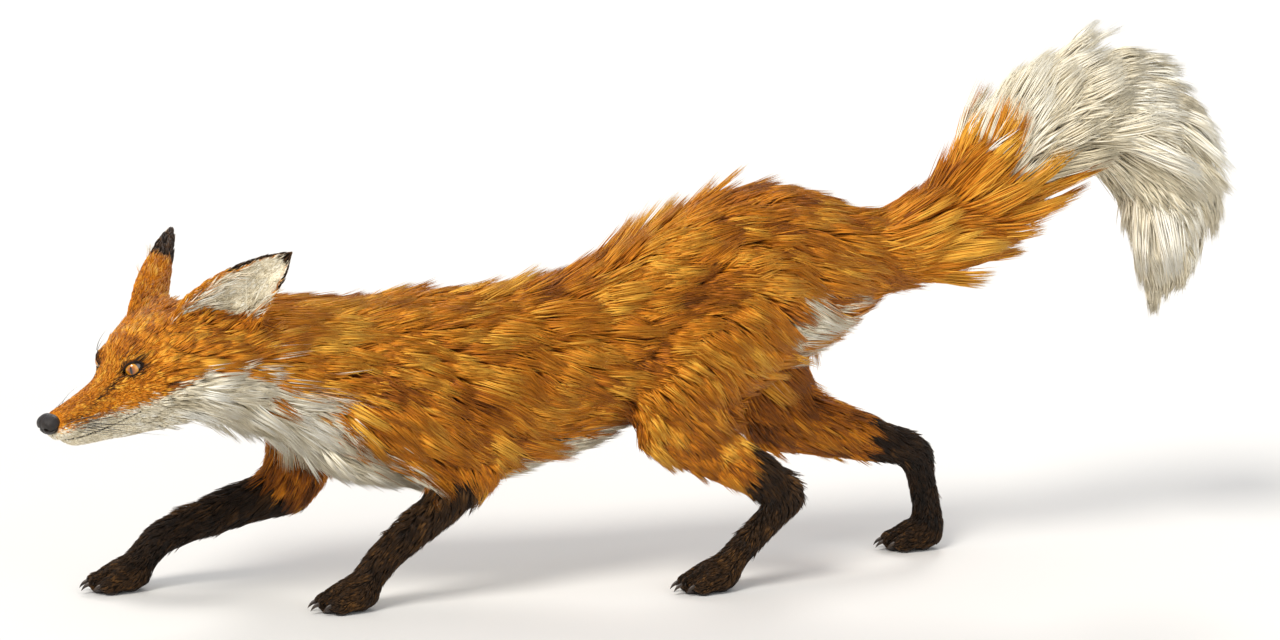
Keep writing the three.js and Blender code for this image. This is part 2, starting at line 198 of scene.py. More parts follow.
def bodies_to_cast():
    """All the bodies that the hide is cast from, each its points and faces."""
    for name in FLESH:
        if name in PAWS:
            yield from blobs_on_foot(name, FOOT)
        else:
            points, faces, normals = arrays_of(merged_copy(name))
            yield points + normals * (EAR_JOIN if name.startswith("ear") else JOIN), faces
    for at in eyes.values():
        yield blob(at, SOCKET_RADIUS, 28, 18)


skin = mesh_object("skin", *joined(bodies_to_cast()))


def finished(piece):
    """The piece's mesh with its modifiers carried out."""
    bpy.context.view_layer.update()
    done = bpy.data.meshes.new_from_object(piece.evaluated_get(bpy.context.evaluated_depsgraph_get()))
    piece.modifiers.clear()
    old, piece.data = piece.data, done
    bpy.data.meshes.remove(old)
    done.name = piece.name
    return piece


remesh = skin.modifiers.new("cast", "REMESH")
remesh.mode = "VOXEL"
remesh.voxel_size = GRAIN
finished(skin)


def vectors(items, field):
    flat = np.empty(len(items) * 3)
    items.foreach_get(field, flat)
    return flat.reshape(-1, 3)


def positions(mesh):
    return vectors(mesh.vertices, "co")


def normals_of(mesh):
    return vectors(mesh.vertex_normals, "vector")


def ramp(low, high, values):
    """0 at low and 1 at high, with a smooth rise between."""
    t = np.clip((values - low) / (high - low), 0, 1)
    return t * t * (3 - 2 * t)


class Hide:
    """The skin while it is worked: which point is joined to which, and how values run along it."""

    def __init__(self, mesh):
        self.mesh = mesh
        edges = np.empty(len(mesh.edges) * 2, np.int32)
        mesh.edges.foreach_get("vertices", edges)
        self.a, self.b = edges.reshape(-1, 2).T
        self.count = len(mesh.vertices)
        self.degree = np.bincount(self.a, minlength=self.count) + np.bincount(self.b, minlength=self.count)

    def around(self, column):
        return (np.bincount(self.a, column[self.b], self.count)
                + np.bincount(self.b, column[self.a], self.count)) / self.degree

    def spread(self, values, times=1, share=1.0):
        """Each point goes a share of the way to its neighbours' mean."""
        columns = np.array(values, float, ndmin=2) if np.ndim(values) == 1 else np.array(values, float).T
        for _ in range(times):
            columns = np.stack([column + share * (self.around(column) - column) for column in columns])
        return columns[0] if np.ndim(values) == 1 else columns.T

    def even(self, points, times, share):
        """Takes corners off without making the body thinner."""
        for _ in range(times):
            points = self.spread(points, 1, 0.5 * share)
            points = self.spread(points, 1, -0.52 * share)
        return points

    def move(self, points):
        self.mesh.vertices.foreach_set("co", points.ravel())
        self.mesh.update()


# Which length of flesh lies nearest to each point, by its number in FLESH.
lengths = [arrays_of(merged_copy(name))[:2] for name in FLESH]
outline_points, outline_faces = joined(lengths)
outline_lengths = [number for number, (_, faces) in enumerate(lengths) for _ in faces]
outline = BVHTree.FromPolygons(outline_points.tolist(), outline_faces)


def lengths_at(points):
    return np.array([outline_lengths[outline.find_nearest(p)[2]] for p in points.tolist()])


def on_lengths(numbers, *starts):
    """Whether each point lies on a length of flesh whose name starts in one of these ways."""
    return np.isin(numbers, [i for i, name in enumerate(FLESH) if name.startswith(starts)])


# The bone of the tail: the middle of the brush, ending well short of its tip.
TAIL_BONE = np.array([
    (-8, 146, 272), (-8, 182, 267), (-9, 222, 267), (-11, 262, 287), (-13, 295, 326),
    (-15, 332, 362), (-16, 378, 376), (-16, 421, 354), (-16, 443, 312), (-15, 446, 275)]) * MM


def onto_path(points, path):
    """For each point the nearest point of a path, and how far along the path that is, in metres."""
    best = np.full(len(points), np.inf)
    nearest, along = np.zeros((len(points), 3)), np.zeros(len(points))
    passed = 0.0
    for a, b in zip(path[:-1], path[1:]):
        reach = np.linalg.norm(b - a)
        t = np.clip((points - a) @ (b - a) / reach ** 2, 0, 1)
        foot = a + t[:, None] * (b - a)
        gap = np.linalg.norm(points - foot, axis=1)
        closer = gap < best
        best[closer], nearest[closer] = gap[closer], foot[closer]
        along[closer] = (passed + t * reach)[closer]
        passed += reach
    return nearest, along


# How deep the skin lies under the coat's outline, in millimetres: the least on each length of flesh, and
# how much more where the coat is full. The brush is worked from its bone instead.
LEAST_DEPTH = {"trunk": 15.0, "neck": 17.0, "head": 0.7, "lower_jaw": 0.7, "ear": 0.9, "tail": 12.0,
               "foreleg": 2.4, "hindleg": 2.4, "forepaw": 0.3, "hindpaw": 0.3}
CHEEK_DEPTH, NAPE_DEPTH, THROAT_DEPTH, ARM_DEPTH, THIGH_DEPTH = 11, 5, 9, 9, 11


def coat_depth(points, numbers):
    x, y, z = in_head(points).T
    height = points[:, 2] / MM
    cheek = ramp(-8, 40, y) * ramp(12, -18, z)
    depth = np.zeros(len(points))
    for start, least in LEAST_DEPTH.items():
        depth[on_lengths(numbers, start)] = least
    depth += CHEEK_DEPTH * cheek * on_lengths(numbers, "head")
    depth += NAPE_DEPTH * ramp(0, 70, y) * (1 - cheek) * on_lengths(numbers, "head")
    depth += THROAT_DEPTH * ramp(-20, 40, y) * on_lengths(numbers, "lower_jaw")
    depth += ARM_DEPTH * ramp(60, 130, height) * on_lengths(numbers, "foreleg")
    depth += THIGH_DEPTH * ramp(85, 180, height) * on_lengths(numbers, "hindleg")
    return depth


FORM_PASSES, EAR_PASSES, DEPTH_PASSES, SINKING_STEPS = 60, 14, 40, 4
hide = Hide(skin.data)
points = positions(skin.data)
numbers = lengths_at(points)
on_tail = on_lengths(numbers, "tail").astype(float)
depth = coat_depth(points, numbers)
soft = hide.spread(np.clip((depth - 0.2) / 13, 0.02, 1), 8)  # where the coat is deep, the form is smooth
points = hide.spread(points, FORM_PASSES, soft)
points = hide.even(points, EAR_PASSES, hide.spread(on_lengths(numbers, "ear").astype(float), 3))
hide.move(points)

# A furrow in the trunk along the edge of each thigh and upper arm, so that they stand out through the coat.
LIMB_FURROW, LIMB_FURROW_REACH = 6.5 * MM, 9.0
MIDLINE = -8  # how far aside the fox's own middle lies, in millimetres
leg_faces = [face for face, number in zip(outline_faces, outline_lengths) if "leg" in FLESH[number]]
leg_outline = BVHTree.FromPolygons(outline_points.tolist(), leg_faces)
limb_edge = np.zeros(len(points))
for i in np.flatnonzero(on_lengths(numbers, "trunk")).tolist():
    limb_edge[i] = math.exp(-(leg_outline.find_nearest(points[i])[3] / MM / LIMB_FURROW_REACH) ** 2)
limb_edge = hide.spread(limb_edge, 6) * ramp(22, 44, np.abs(points[:, 0] / MM - MIDLINE))
points = points - hide.spread(normals_of(skin.data), 8) * (LIMB_FURROW * limb_edge)[:, None]
hide.move(points)

# The skin sinks under the coat. What it leaves is the outline that the coat's tips reach.
whole = points.copy()
tail_part = hide.spread(on_tail, 20)
depth = hide.spread(depth, DEPTH_PASSES, np.clip(soft * 3, 0, 1)) * (1 - tail_part) * MM
for _ in range(SINKING_STEPS):
    out = hide.spread(normals_of(skin.data), 8)
    out /= np.linalg.norm(out, axis=1)[:, None] + 1e-9
    points = points - out * (depth / SINKING_STEPS)[:, None]
    hide.move(points)

# The tail's own thickness as a share of the brush, and at its root.
BONE_SHARE, ROOT_SHARE = 0.42, 0.60
centre, along = onto_path(points, TAIL_BONE)
share = BONE_SHARE + (ROOT_SHARE - BONE_SHARE) * ramp(130, 50, along / MM)
points = points + (centre - points) * ((1 - share) * tail_part)[:, None]
points = hide.spread(points, 20, soft)
points[:, 2] = np.maximum(points[:, 2], FLOOR_GAP)
hide.move(points)

# The body's skin is thinned out. The skin of the face and toes is cut finer, and twice more round the eyes.
BODY_THINNING, BODY_THINNING_PULL = 0.137, 30
numbers = lengths_at(points)
worked = BVHTree.FromPolygons(points.tolist(), [list(face.vertices) for face in skin.data.polygons])
worked_corner = np.array([face.vertices[0] for face in skin.data.polygons])
form = BVHTree.FromPolygons(whole.tolist(), [list(face.vertices) for face in skin.data.polygons])
worked_numbers, worked_rise, worked_edge = numbers, np.linalg.norm(whole - points, axis=1), limb_edge
kept = on_lengths(numbers, "ear", "forepaw", "hindpaw")
kept |= on_lengths(numbers, "head", "lower_jaw") & (in_head(points)[:, 1] < 30)
body = skin.vertex_groups.new(name="body")
body.add(np.flatnonzero(~kept).tolist(), 1.0, "REPLACE")
thinning = skin.modifiers.new("thinning", "DECIMATE")
thinning.ratio = BODY_THINNING
thinning.vertex_group = "body"
thinning.vertex_group_factor = BODY_THINNING_PULL
finished(skin)
skin.vertex_groups.clear()


def cut_finer(piece, chosen):
    """Cuts each triangle whose corners all lie where chosen(points) holds into four."""
    shape = bmesh.new()
    shape.from_mesh(piece.data)
    bmesh.ops.triangulate(shape, faces=[face for face in shape.faces if len(face.verts) > 3])
    shape.verts.ensure_lookup_table()
    inside = chosen(np.array([v.co for v in shape.verts]))
    edges = [e for e in shape.edges if inside[e.verts[0].index] and inside[e.verts[1].index]]
    bmesh.ops.subdivide_edges(shape, edges=edges, cuts=1, use_grid_fill=True)
    bmesh.ops.triangulate(shape, faces=[face for face in shape.faces if len(face.verts) > 3])
    shape.to_mesh(piece.data)
    shape.free()
    piece.data.update()


EYE_MIDDLE = np.array((18.6, -0.4, 0.4))  # the left eye, in the head's directions
EYE_RADIUS = 8.4
EYE_FACES = np.array((0.66, -0.70, 0.22))  # the way its opening faces
EYE_SLOPE = np.array((0.60, 0.72, 0.31))  # from the inner corner to the outer one


def unit(vector):
    return vector / np.linalg.norm(vector)


def eye_view(heads, side):
    """Points as one eye sees them: along its opening, across it, and ahead."""
    flip = np.array((side, 1, 1))
    ahead = unit(EYE_FACES * flip)
    along = EYE_SLOPE * flip
    along = unit(along - ahead * (along @ ahead))
    across = np.cross(ahead, along) * side
    across *= np.sign(across[2])
    seen = (heads - EYE_MIDDLE * flip) @ np.stack([along, across, ahead], axis=1)
    return seen, np.stack([along, across, ahead])


AROUND_EYES, ON_LIDS = 15, 11.5  # how near to the middle of an eye's opening, in millimetres


def near_eyes(points, reach):
    heads = in_head(points)
    near = np.zeros(len(points), bool)
    for side in (1, -1):
        seen, _ = eye_view(heads, side)
        near |= (np.hypot(seen[:, 0], seen[:, 1]) < reach) & (seen[:, 2] > 0) & (seen[:, 2] < 25)
    return near


MOUTH = np.array([  # how far back and how far up its line runs
    (-90, -31.5), (-74, -33.0), (-60, -35.4), (-45, -37.0), (-30, -37.2), (-18, -35.8), (-9, -33.0)])
FACE_REACH = 110  # the face is all that lies this near to the middle between the eyes


def mouth_gap(heads):
    """How far each point lies above the line of the mouth, in millimetres."""
    return heads[:, 2] - np.interp(heads[:, 1], MOUTH[:, 0], MOUTH[:, 1])


def on_face(points):
    return (in_head(points)[:, 1] < 24) & (np.linalg.norm(in_head(points), axis=1) < FACE_REACH)


def near_mouth(points):
    heads = in_head(points)
    near = (np.abs(mouth_gap(heads)) < 4) & (heads[:, 1] < -4)
    return near & (np.linalg.norm(heads, axis=1) < FACE_REACH)


def worked_at(points):
    """For each point, the nearest point of the skin as it was worked."""
    return worked_corner[[worked.find_nearest(p)[2] for p in points.tolist()]]


def near_toes(points):
    """Whether each point lies on the front half of a foot."""
    near = np.zeros(len(points), bool)
    for name in PAWS:
        across, back, up = in_foot(name, points).T
        near |= (np.abs(across) < 20) & (back < -2) & (back > -42) & (up < 24)
    return near


cut_finer(skin, on_face)
cut_finer(skin, near_toes)
cut_finer(skin, lambda points: near_eyes(points, AROUND_EYES) | near_mouth(points))
cut_finer(skin, lambda points: near_eyes(points, ON_LIDS))

hide = Hide(skin.data)
points = positions(skin.data)
points = hide.even(points, 8, np.clip(on_face(points) + 0.5 * near_toes(points), 0, 1))
hide.move(points)

# The toes: a furrow between each two, deepest at their tips, and a low swelling over each joint.
TOE_GAPS = (-8.9, 0.0, 8.9)
GAP_HALF_WIDTH, GAP_DEPTH, GAP_DEPTH_AT_TIP, JOINT_SWELL = 1.5, 1.5, 2.6, 1.3
for name in PAWS:
    across, back, up = in_foot(name, points).T
    close = (np.abs(across) < 22) & (back < 4) & (back > -44) & (up < 30)
    furrow = sum(np.exp(-((across - gap) / GAP_HALF_WIDTH) ** 2) for gap in TOE_GAPS)
    furrow *= ramp(-1, -14, back) * (GAP_DEPTH + GAP_DEPTH_AT_TIP * ramp(-12, -32, back))
    joint = sum(np.exp(-((across - side) / 2.6) ** 2 - ((back + reach - 1) / 5.0) ** 2)
                for side, reach in TOES)
    points = points + normals_of(skin.data) * ((JOINT_SWELL * joint - furrow) * close * MM)[:, None]
    hide.move(points)
points[:, 2] = np.maximum(points[:, 2], FLOOR_GAP)
hide.move(points)

# ---------------------------------------------------------------- the face
# Brows, whisker pads, lips and lids. The lids are the same skin, drawn over the eyeball to a rounded edge,
# and behind that edge it goes on inside the eye.
heads = in_head(points)
normals = normals_of(skin.data) @ HEAD


def hill(heads, at, reach):
    """A smooth mound round a place and its mirror image, 1 at the top."""
    away = np.minimum(np.linalg.norm((heads - at) / reach, axis=1),
                      np.linalg.norm((heads - np.array(at) * (-1, 1, 1)) / reach, axis=1))
    return np.exp(-away ** 2)


SWELLS = [  # where, how far round it, how high
    ((10.5, -62, -27), (5, 9, 5), 1.7),  # whisker pads
    ((15, -1, 13), (8, 7, 5), 1.6),  # brows
    ((30, 14, -14), (11, 12, 9), 1.6),  # cheekbones
    ((6, -52, -12), (3, 16, 4), -0.7),  # the muzzle's sides fall in behind the nose
    ((16, -22, -14), (7, 9, 6), -1.8),  # hollow before the eye
    ((0, -8, 6), (5, 13, 8), -0.9),  # stop
    ((0, 12, 24), (4, 20, 10), -1.0),  # furrow of the forehead
    ((0, -72, -40), (6, 6, 4), 1.0),  # chin
]
for at, reach, height in SWELLS:
    heads = heads + normals * (height * hill(heads, at, np.array(reach)))[:, None]

MOUTH_DEPTH, MOUTH_HALF_WIDTH = 1.9, 0.75
LIP_HEIGHT, LIP_OFF, LIP_HALF_WIDTH = 0.45, 1.9, 1.1
CLEFT_DEPTH, CLEFT_HALF_WIDTH = 0.9, 0.8  # under the nose
gap = mouth_gap(heads)
lips = np.exp(-(gap / MOUTH_HALF_WIDTH) ** 2) * ramp(-7, -13, heads[:, 1])
heads = heads - normals * (MOUTH_DEPTH * lips)[:, None]
lip_edges = sum(np.exp(-((gap - off) / LIP_HALF_WIDTH) ** 2) for off in (LIP_OFF, -LIP_OFF))
lip_edges *= ramp(-7, -13, heads[:, 1])
heads = heads + normals * (LIP_HEIGHT * lip_edges)[:, None]
cleft = np.exp(-(heads[:, 0] / CLEFT_HALF_WIDTH) ** 2)
cleft *= ramp(-66, -70, heads[:, 1])
cleft *= ramp(-34, -31, heads[:, 2])
heads = heads - normals * (CLEFT_DEPTH * cleft)[:, None]

OPENING_LENGTH, OPENING_UP, OPENING_DOWN, INNER_CORNER = 7.4, 3.9, 4.0, 2.4
LID_THICKNESS, LID_FOLD = 1.15, 0.5
LID_SINKS = 2.4  # how far inside the lid's face its hidden part lies
LID_BLEND = 3.0  # how softly the lids run into the face
turns = np.linspace(0, 2 * math.pi, 96, endpoint=False)
rises = np.where(np.sin(turns) > 0, OPENING_UP, OPENING_DOWN) * np.sin(turns) * np.abs(np.sin(turns)) ** 0.2
opening = np.stack([
    OPENING_LENGTH * np.cos(turns) - INNER_CORNER * np.clip(-np.cos(turns), 0, 1) ** 8, rises], axis=1)


def past_opening(flat):
    """How far each point lies outside the eye's opening, less than nothing within it."""
    best = np.full(len(flat), np.inf)
    turned = np.zeros(len(flat))
    for a, b in zip(opening, np.roll(opening, -1, axis=0)):
        t = np.clip((flat - a) @ (b - a) / ((b - a) @ (b - a)), 0, 1)
        best = np.minimum(best, np.linalg.norm(flat - a - t[:, None] * (b - a), axis=1))
        from_a, from_b = a - flat, b - flat
        cross = from_a[:, 0] * from_b[:, 1] - from_a[:, 1] * from_b[:, 0]
        turned += np.arctan2(cross, (from_a * from_b).sum(axis=1))
    return np.where(np.abs(turned) > math.pi, -best, best)


FAR_OFF = 99.0
lid_edge = np.full(len(heads), FAR_OFF)  # how far outside the nearer eye's opening each point lies
for side in (1, -1):
    seen, view = eye_view(heads, side)
    near = (np.hypot(seen[:, 0], seen[:, 1]) < AROUND_EYES) & (seen[:, 2] > -6) & (seen[:, 2] < 25)
    close = np.flatnonzero(near)
    u, v, w = seen[close].T
    past = past_opening(seen[close, :2])
    lid_edge[close] = np.minimum(lid_edge[close], past)
    ball = EYE_RADIUS + LID_THICKNESS - LID_SINKS * ramp(0.45, -0.35, past)
    within = ball ** 2 - u ** 2 - v ** 2
    lid = np.where(within > 4, np.sqrt(np.maximum(within, 4)), 2 + (within - 4) / 4)
    fold = np.exp(-((past - 2.9) / 0.55) ** 2) * ramp(-1, 2, v)
    over = np.clip(0.5 + (lid - w) / (2 * LID_BLEND), 0, 1)
    softened = lid * over + w * (1 - over) + LID_BLEND * over * (1 - over)
    free = ramp(0.9, 2.6, past)
    moved = lid * (1 - free) + softened * free - LID_FOLD * fold
    heads[close] += view[2] * (moved - w)[:, None]

points = from_head(heads)
hide.move(points)
round_lids = np.exp(-(np.clip(lid_edge, 0, FAR_OFF) / 6) ** 2) * ramp(0.8, 1.6, lid_edge)
points = hide.even(points, 4, round_lids)
hide.move(points)

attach(skin, "root")
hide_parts(*FLESH)

# ---------------------------------------------------------------- the eyes
# Amber eyes with an upright slit, as a fox has. The ball is one body of glass with the cornea swelling from
# it, and the iris is painted under the polish.
GAZE = np.array((0.60, -0.78, 0.10))
CORNEA_SWELL, CORNEA_EDGE = 0.75, math.radians(40)
IRIS, PUPIL_TALL, PUPIL_WIDE = 0.115, 0.055, 0.0165  # in turns about the ball's middle
rings, spokes = 72, 96


def ball_faces(rows, around):
    """The faces of a closed ball whose points are given from pole to pole, row by row."""
    last = 1 + (rows - 1) * around
    faces = [(0, 1 + s, 1 + (s + 1) % around) for s in range(around)]
    for row in range(rows - 2):
        a, b = 1 + row * around, 1 + (row + 1) * around
        faces += [(a + s, b + s, b + (s + 1) % around, a + (s + 1) % around) for s in range(around)]
    a = last - around
    return faces + [(a + s, last, a + (s + 1) % around) for s in range(around)]


def turned_ball(side):
    """One side's eyeball as it looks ahead: its points, its faces, and each point's angles off the gaze."""
    ahead = unit(GAZE * (side, 1, 1))
    left = unit(np.cross(ahead, (0, 0, 1)))
    up = np.cross(left, ahead)
    tilt = np.linspace(0, math.pi, rings + 1)
    reach = EYE_RADIUS + CORNEA_SWELL * ramp(CORNEA_EDGE * 1.15, CORNEA_EDGE * 0.35, tilt)
    points, flat = [ahead * reach[0]], [(0, 0)]
    for t, r in zip(tilt[1:-1], reach[1:-1]):
        for spoke in range(spokes):
            a = 2 * math.pi * spoke / spokes
            points.append(r * (ahead * math.cos(t) + (left * math.cos(a) + up * math.sin(a)) * math.sin(t)))
            flat.append((t * math.cos(a), t * math.sin(a)))
    points.append(-ahead * reach[-1])
    flat.append((math.pi, 0))
    places = from_head(np.array(points) + EYE_MIDDLE * (side, 1, 1))
    return places, ball_faces(rings, spokes), np.array(flat)


def facing_out(piece):
    """Turns the faces of a closed piece outwards and shades it smoothly."""
    shape = bmesh.new()
    shape.from_mesh(piece.data)
    bmesh.ops.recalc_face_normals(shape, faces=shape.faces)
    if shape.calc_volume(signed=True) < 0:
        bmesh.ops.reverse_faces(shape, faces=shape.faces)
    shape.to_mesh(piece.data)
    shape.free()
    piece.data.polygons.foreach_set("use_smooth", [True] * len(piece.data.polygons))
    return piece


def colour(code):
    """A colour written as on a paint chart, as light."""
    parts = [int(code[i:i + 2], 16) / 255 for i in (1, 3, 5)]
    return [p / 12.92 if p <= 0.04045 else ((p + 0.055) / 1.055) ** 2.4 for p in parts] + [1]


class Tree:
    """Nodes and the links between them."""

    def __init__(self, tree):
        self.tree = tree

    def set(self, node, **sockets):
        """Fills a node's sockets, named or numbered as i0, i1 and so on, with values or other sockets."""
        for name, value in sockets.items():
            numbered = name[0] == "i" and name[1:].isdigit()
            socket = node.inputs[int(name[1:]) if numbered else name.replace("_", " ")]
            if isinstance(value, bpy.types.NodeSocket):
                self.tree.links.new(value, socket)
            else:
                socket.default_value = value
        return node

    def node(self, kind, options=(), **sockets):
        node = self.tree.nodes.new(kind)
        for key, value in dict(options).items():
            setattr(node, key, value)
        return self.set(node, **sockets)

    def sum(self, operation, a, b=0.0, clamp=False):
        node = self.node("ShaderNodeMath", {"operation": operation, "use_clamp": clamp}, i0=a, i1=b)
        return node.outputs[0]


class Finish(Tree):
    """A material, built node by node."""

    def __init__(self, name, **sockets):
        self.material = bpy.data.materials.new(name)
        self.material.use_nodes = True
        super().__init__(self.material.node_tree)
        self.shader = self.tree.nodes["Principled BSDF"]
        self.set(self.shader, **sockets)

    def place(self):
        """Where each point is on the fox."""
        return self.node("ShaderNodeTexCoord").outputs["Object"]

    def between(self, value, low, high, out_low=0.0, out_high=1.0):
        """A smooth rise as the value goes from low to high."""
        node = self.node("ShaderNodeMapRange", {"interpolation_type": "SMOOTHSTEP"}, Value=value,
                         From_Min=low, From_Max=high, To_Min=out_low, To_Max=out_high)
        return node.outputs["Result"]

    def mix(self, share, a, b):
        return self.node("ShaderNodeMix", {"data_type": "RGBA"}, i0=share, i6=a, i7=b).outputs[2]

    def tones(self, value, *stops):
        node = self.node("ShaderNodeValToRGB", Fac=value)
        steps = node.color_ramp.elements
        while len(steps) < len(stops):
            steps.new(1)
        for step, (at, code) in zip(steps, stops):
            step.position, step.color = at, colour(code)
        return node.outputs["Color"]

    def noise(self, where, scale, detail=3.0, rough=0.5):
        grains = self.node("ShaderNodeTexNoise", Vector=where, Scale=scale, Detail=detail, Roughness=rough)
        return grains.outputs[0]

    def bump(self, height, strength, distance):
        return self.node("ShaderNodeBump", Strength=strength, Distance=distance, Height=height).outputs[0]


eye_glass = Finish("eye_glass", Roughness=0.22, Coat_Weight=1.0, Coat_Roughness=0.02, Coat_IOR=1.45)
flat = eye_glass.node("ShaderNodeUVMap", {"uv_map": "gaze"}).outputs[0]
apart = eye_glass.node("ShaderNodeSeparateXYZ", Vector=flat)
aside = eye_glass.sum("SUBTRACT", apart.outputs[0], 0.5)
upward = eye_glass.sum("SUBTRACT", apart.outputs[1], 0.5)
from_middle = eye_glass.sum("SQRT", eye_glass.sum("ADD", eye_glass.sum("MULTIPLY", aside, aside),
                                                  eye_glass.sum("MULTIPLY", upward, upward)))
around_iris = eye_glass.sum("ARCTAN2", aside, upward)
threads = eye_glass.node("ShaderNodeCombineXYZ", X=eye_glass.sum("MULTIPLY", around_iris, 9.0),
                         Y=eye_glass.sum("MULTIPLY", from_middle, 8.0)).outputs[0]
fibres = eye_glass.noise(threads, 2.4, 4.0, 0.6)
iris_tone = eye_glass.sum("ADD", eye_glass.between(from_middle, 0.0, IRIS, 0.12, 0.75),
                          eye_glass.sum("MULTIPLY", eye_glass.sum("SUBTRACT", fibres, 0.5), 0.75))
amber = eye_glass.tones(iris_tone, (0.0, "#4a2205"), (0.3, "#8e4a08"), (0.6, "#c98214"), (1.0, "#e9b33c"))
amber = eye_glass.mix(eye_glass.between(from_middle, IRIS * 0.82, IRIS * 1.0), amber, colour("#2a1606"))
slit = eye_glass.sum("ADD", eye_glass.sum("POWER", eye_glass.sum("DIVIDE", aside, PUPIL_WIDE), 2.0),
                     eye_glass.sum("POWER", eye_glass.sum("DIVIDE", upward, PUPIL_TALL), 2.0))
amber = eye_glass.mix(eye_glass.between(slit, 1.35, 0.85), amber, colour("#050302"))
past_iris = eye_glass.between(from_middle, IRIS * 0.98, IRIS * 1.12)
whole_eye = eye_glass.mix(past_iris, amber, colour("#3a2a1c"))
eye_glass.set(eye_glass.shader, Base_Color=whole_eye)

for side, name in ((1, "eye_left"), (-1, "eye_right")):
    points, faces, flat = turned_ball(side)
    eyeball = mesh_object(name + "_glass", points, faces)
    layer = eyeball.data.uv_layers.new(name="gaze")
    corners = np.array([loop.vertex_index for loop in eyeball.data.loops])
    layer.data.foreach_set("uv", (flat[corners] / (2 * math.pi) + 0.5).ravel())
    facing_out(eyeball)
    eyeball.data.materials.append(eye_glass.material)
    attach(eyeball, "root")
    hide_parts(name)

# ---------------------------------------------------------------- the nose
# A bare wet pad of leather with two comma-shaped nostrils, their slits running back at the sides, and a
# cleft down the middle to the lip.
NOSE_MIDDLE = np.array((0, -75.5, -18.6))
NOSE_HALF = np.array((10.0, 7.6, 7.8))
NOSE_DIP = math.radians(14)
# As shares of the pad's half size:
NOSTRIL_ASIDE, NOSTRIL_DEPTH, SLIT_DEPTH, SLIT_HALF_WIDTH = 0.47, 0.42, 0.20, 0.075
CLEFT_OF_PAD, CREASE_OF_PAD, WING = 0.13, 0.05, 0.05
columns, rows = 150, 96
points = []
for row in range(rows + 1):
    t = math.pi * row / rows
    for column in range(columns if 0 < row < rows else 1):
        a = 2 * math.pi * column / columns
        points.append((math.sin(t) * math.cos(a), -math.cos(t), math.sin(t) * math.sin(a)))
pad = np.array(points)
BOXY = 2.5  # 2 being a plain ball
NARROWER_BELOW, WIDER_ABOVE = 0.30, 0.03
pad /= (np.abs(pad) ** BOXY).sum(axis=1)[:, None] ** (1 / BOXY)
x, y, z = pad.T  # these change with the pad
pad[:, 0] *= 1 - NARROWER_BELOW * ramp(0, -1, z) + WIDER_ABOVE * ramp(0, 1, z)
dent = np.zeros(len(pad))
for side in (1, -1):
    away = np.hypot((x - side * NOSTRIL_ASIDE) / 0.20, (z + 0.02) / 0.23)
    dent += NOSTRIL_DEPTH * ramp(1.15, 0.55, away) * ramp(0.1, -0.3, y)
    line = (x * side - NOSTRIL_ASIDE) / 0.55  # the slit that leaves the nostril outwards and down
    slit_z = -0.05 - 0.30 * line
    slit = np.exp(-((z - slit_z) / SLIT_HALF_WIDTH) ** 2)
    dent += SLIT_DEPTH * slit * ramp(-0.05, 0.2, line) * ramp(1.05, 0.8, line)
    pad[:, 0] += side * WING * np.exp(-(np.hypot((x - side * 0.80) / 0.3, (z - 0.12) / 0.4)) ** 2)
dent += CLEFT_OF_PAD * np.exp(-(x / 0.055) ** 2) * ramp(0.25, -0.05, z) * ramp(0.2, -0.3, y)
dent += CREASE_OF_PAD * np.exp(-(x / 0.16) ** 2) * ramp(-0.2, 0.5, z)
pad = pad * (1 - dent)[:, None] * NOSE_HALF
dip = np.array([(1, 0, 0),
                (0, math.cos(NOSE_DIP), -math.sin(NOSE_DIP)),
                (0, math.sin(NOSE_DIP), math.cos(NOSE_DIP))])
pad_on_head = from_head(pad @ dip.T + NOSE_MIDDLE)
nose = facing_out(mesh_object("nose_pad", pad_on_head, ball_faces(rows, columns)))

leather = Finish("nose_leather", Specular_IOR_Level=0.45)
place = leather.place()
cobbles = leather.node("ShaderNodeTexVoronoi", {"feature": "DISTANCE_TO_EDGE"}, Vector=place, Scale=1300.0)
patches = leather.noise(place, 220.0)
leather.set(leather.shader,
            Base_Color=leather.tones(patches, (0.3, "#100b08"), (0.6, "#21170f"), (0.8, "#38281a")),
            Roughness=leather.between(patches, 0.3, 0.7, 0.30, 0.46),
            Normal=leather.bump(leather.between(cobbles.outputs[0], 0.0, 0.25), 0.35, 0.3 * MM))
nose.data.materials.append(leather.material)
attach(nose, "root")
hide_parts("nose")

# ---------------------------------------------------------------- the markings
# Russet above, pale below and inside, dark stockings and ear tips, and a pale end to the brush. Skin and
# coat take them from here, as the distance in millimetres that a place lies inside the pale or the dark.
def limb(*places):
    """A line through places given in millimetres."""
    return np.array(places) * MM


# The bones of each length, which its hair follows.
BONES = {
    "neck": limb((22, -360, 203), (0, -300, 195), (-8, -235, 185)),
    "trunk": limb((-8, -310, 150), (-8, -240, 172), (-8, -100, 175), (-8, 60, 222), (-8, 160, 240)),
    "tail": TAIL_BONE,
    "foreleg_left": limb(
        (42, -235, 180), (48, -138, 117), (42, -218, 43), (42, -237, 19), (42, -275, 8)),
    "foreleg_right": limb(
        (-58, -257, 182), (-64, -276, 82), (-60, -385, 43), (-58, -408, 19), (-58, -446, 8)),
    "hindleg_left": limb(
        (34, 94, 246), (44, 2, 150), (42, 112, 76), (42, 58, 19), (42, 18, 8)),
    "hindleg_right": limb(
        (-50, 98, 244), (-60, 114, 128), (-58, 244, 84), (-56, 257, 19), (-56, 217, 8)),
}
HEAD_BONE = from_head([(0, -110, -15), (0, 75, -15)])
EAR_LENGTH, EAR_HALF_WIDTH = 112.0, 31.3
EAR_RIM = 0.80  # the hollow's half width as a share of the ear's
EAR_POINTS, EAR_FACES = unit(np.array((0.46, 0.76, 0.46))), unit(np.array((0.7, -0.68, 0.12)))
ear_roots = {side: np.array((28 * side, 41, 4)) for side in (1, -1)}


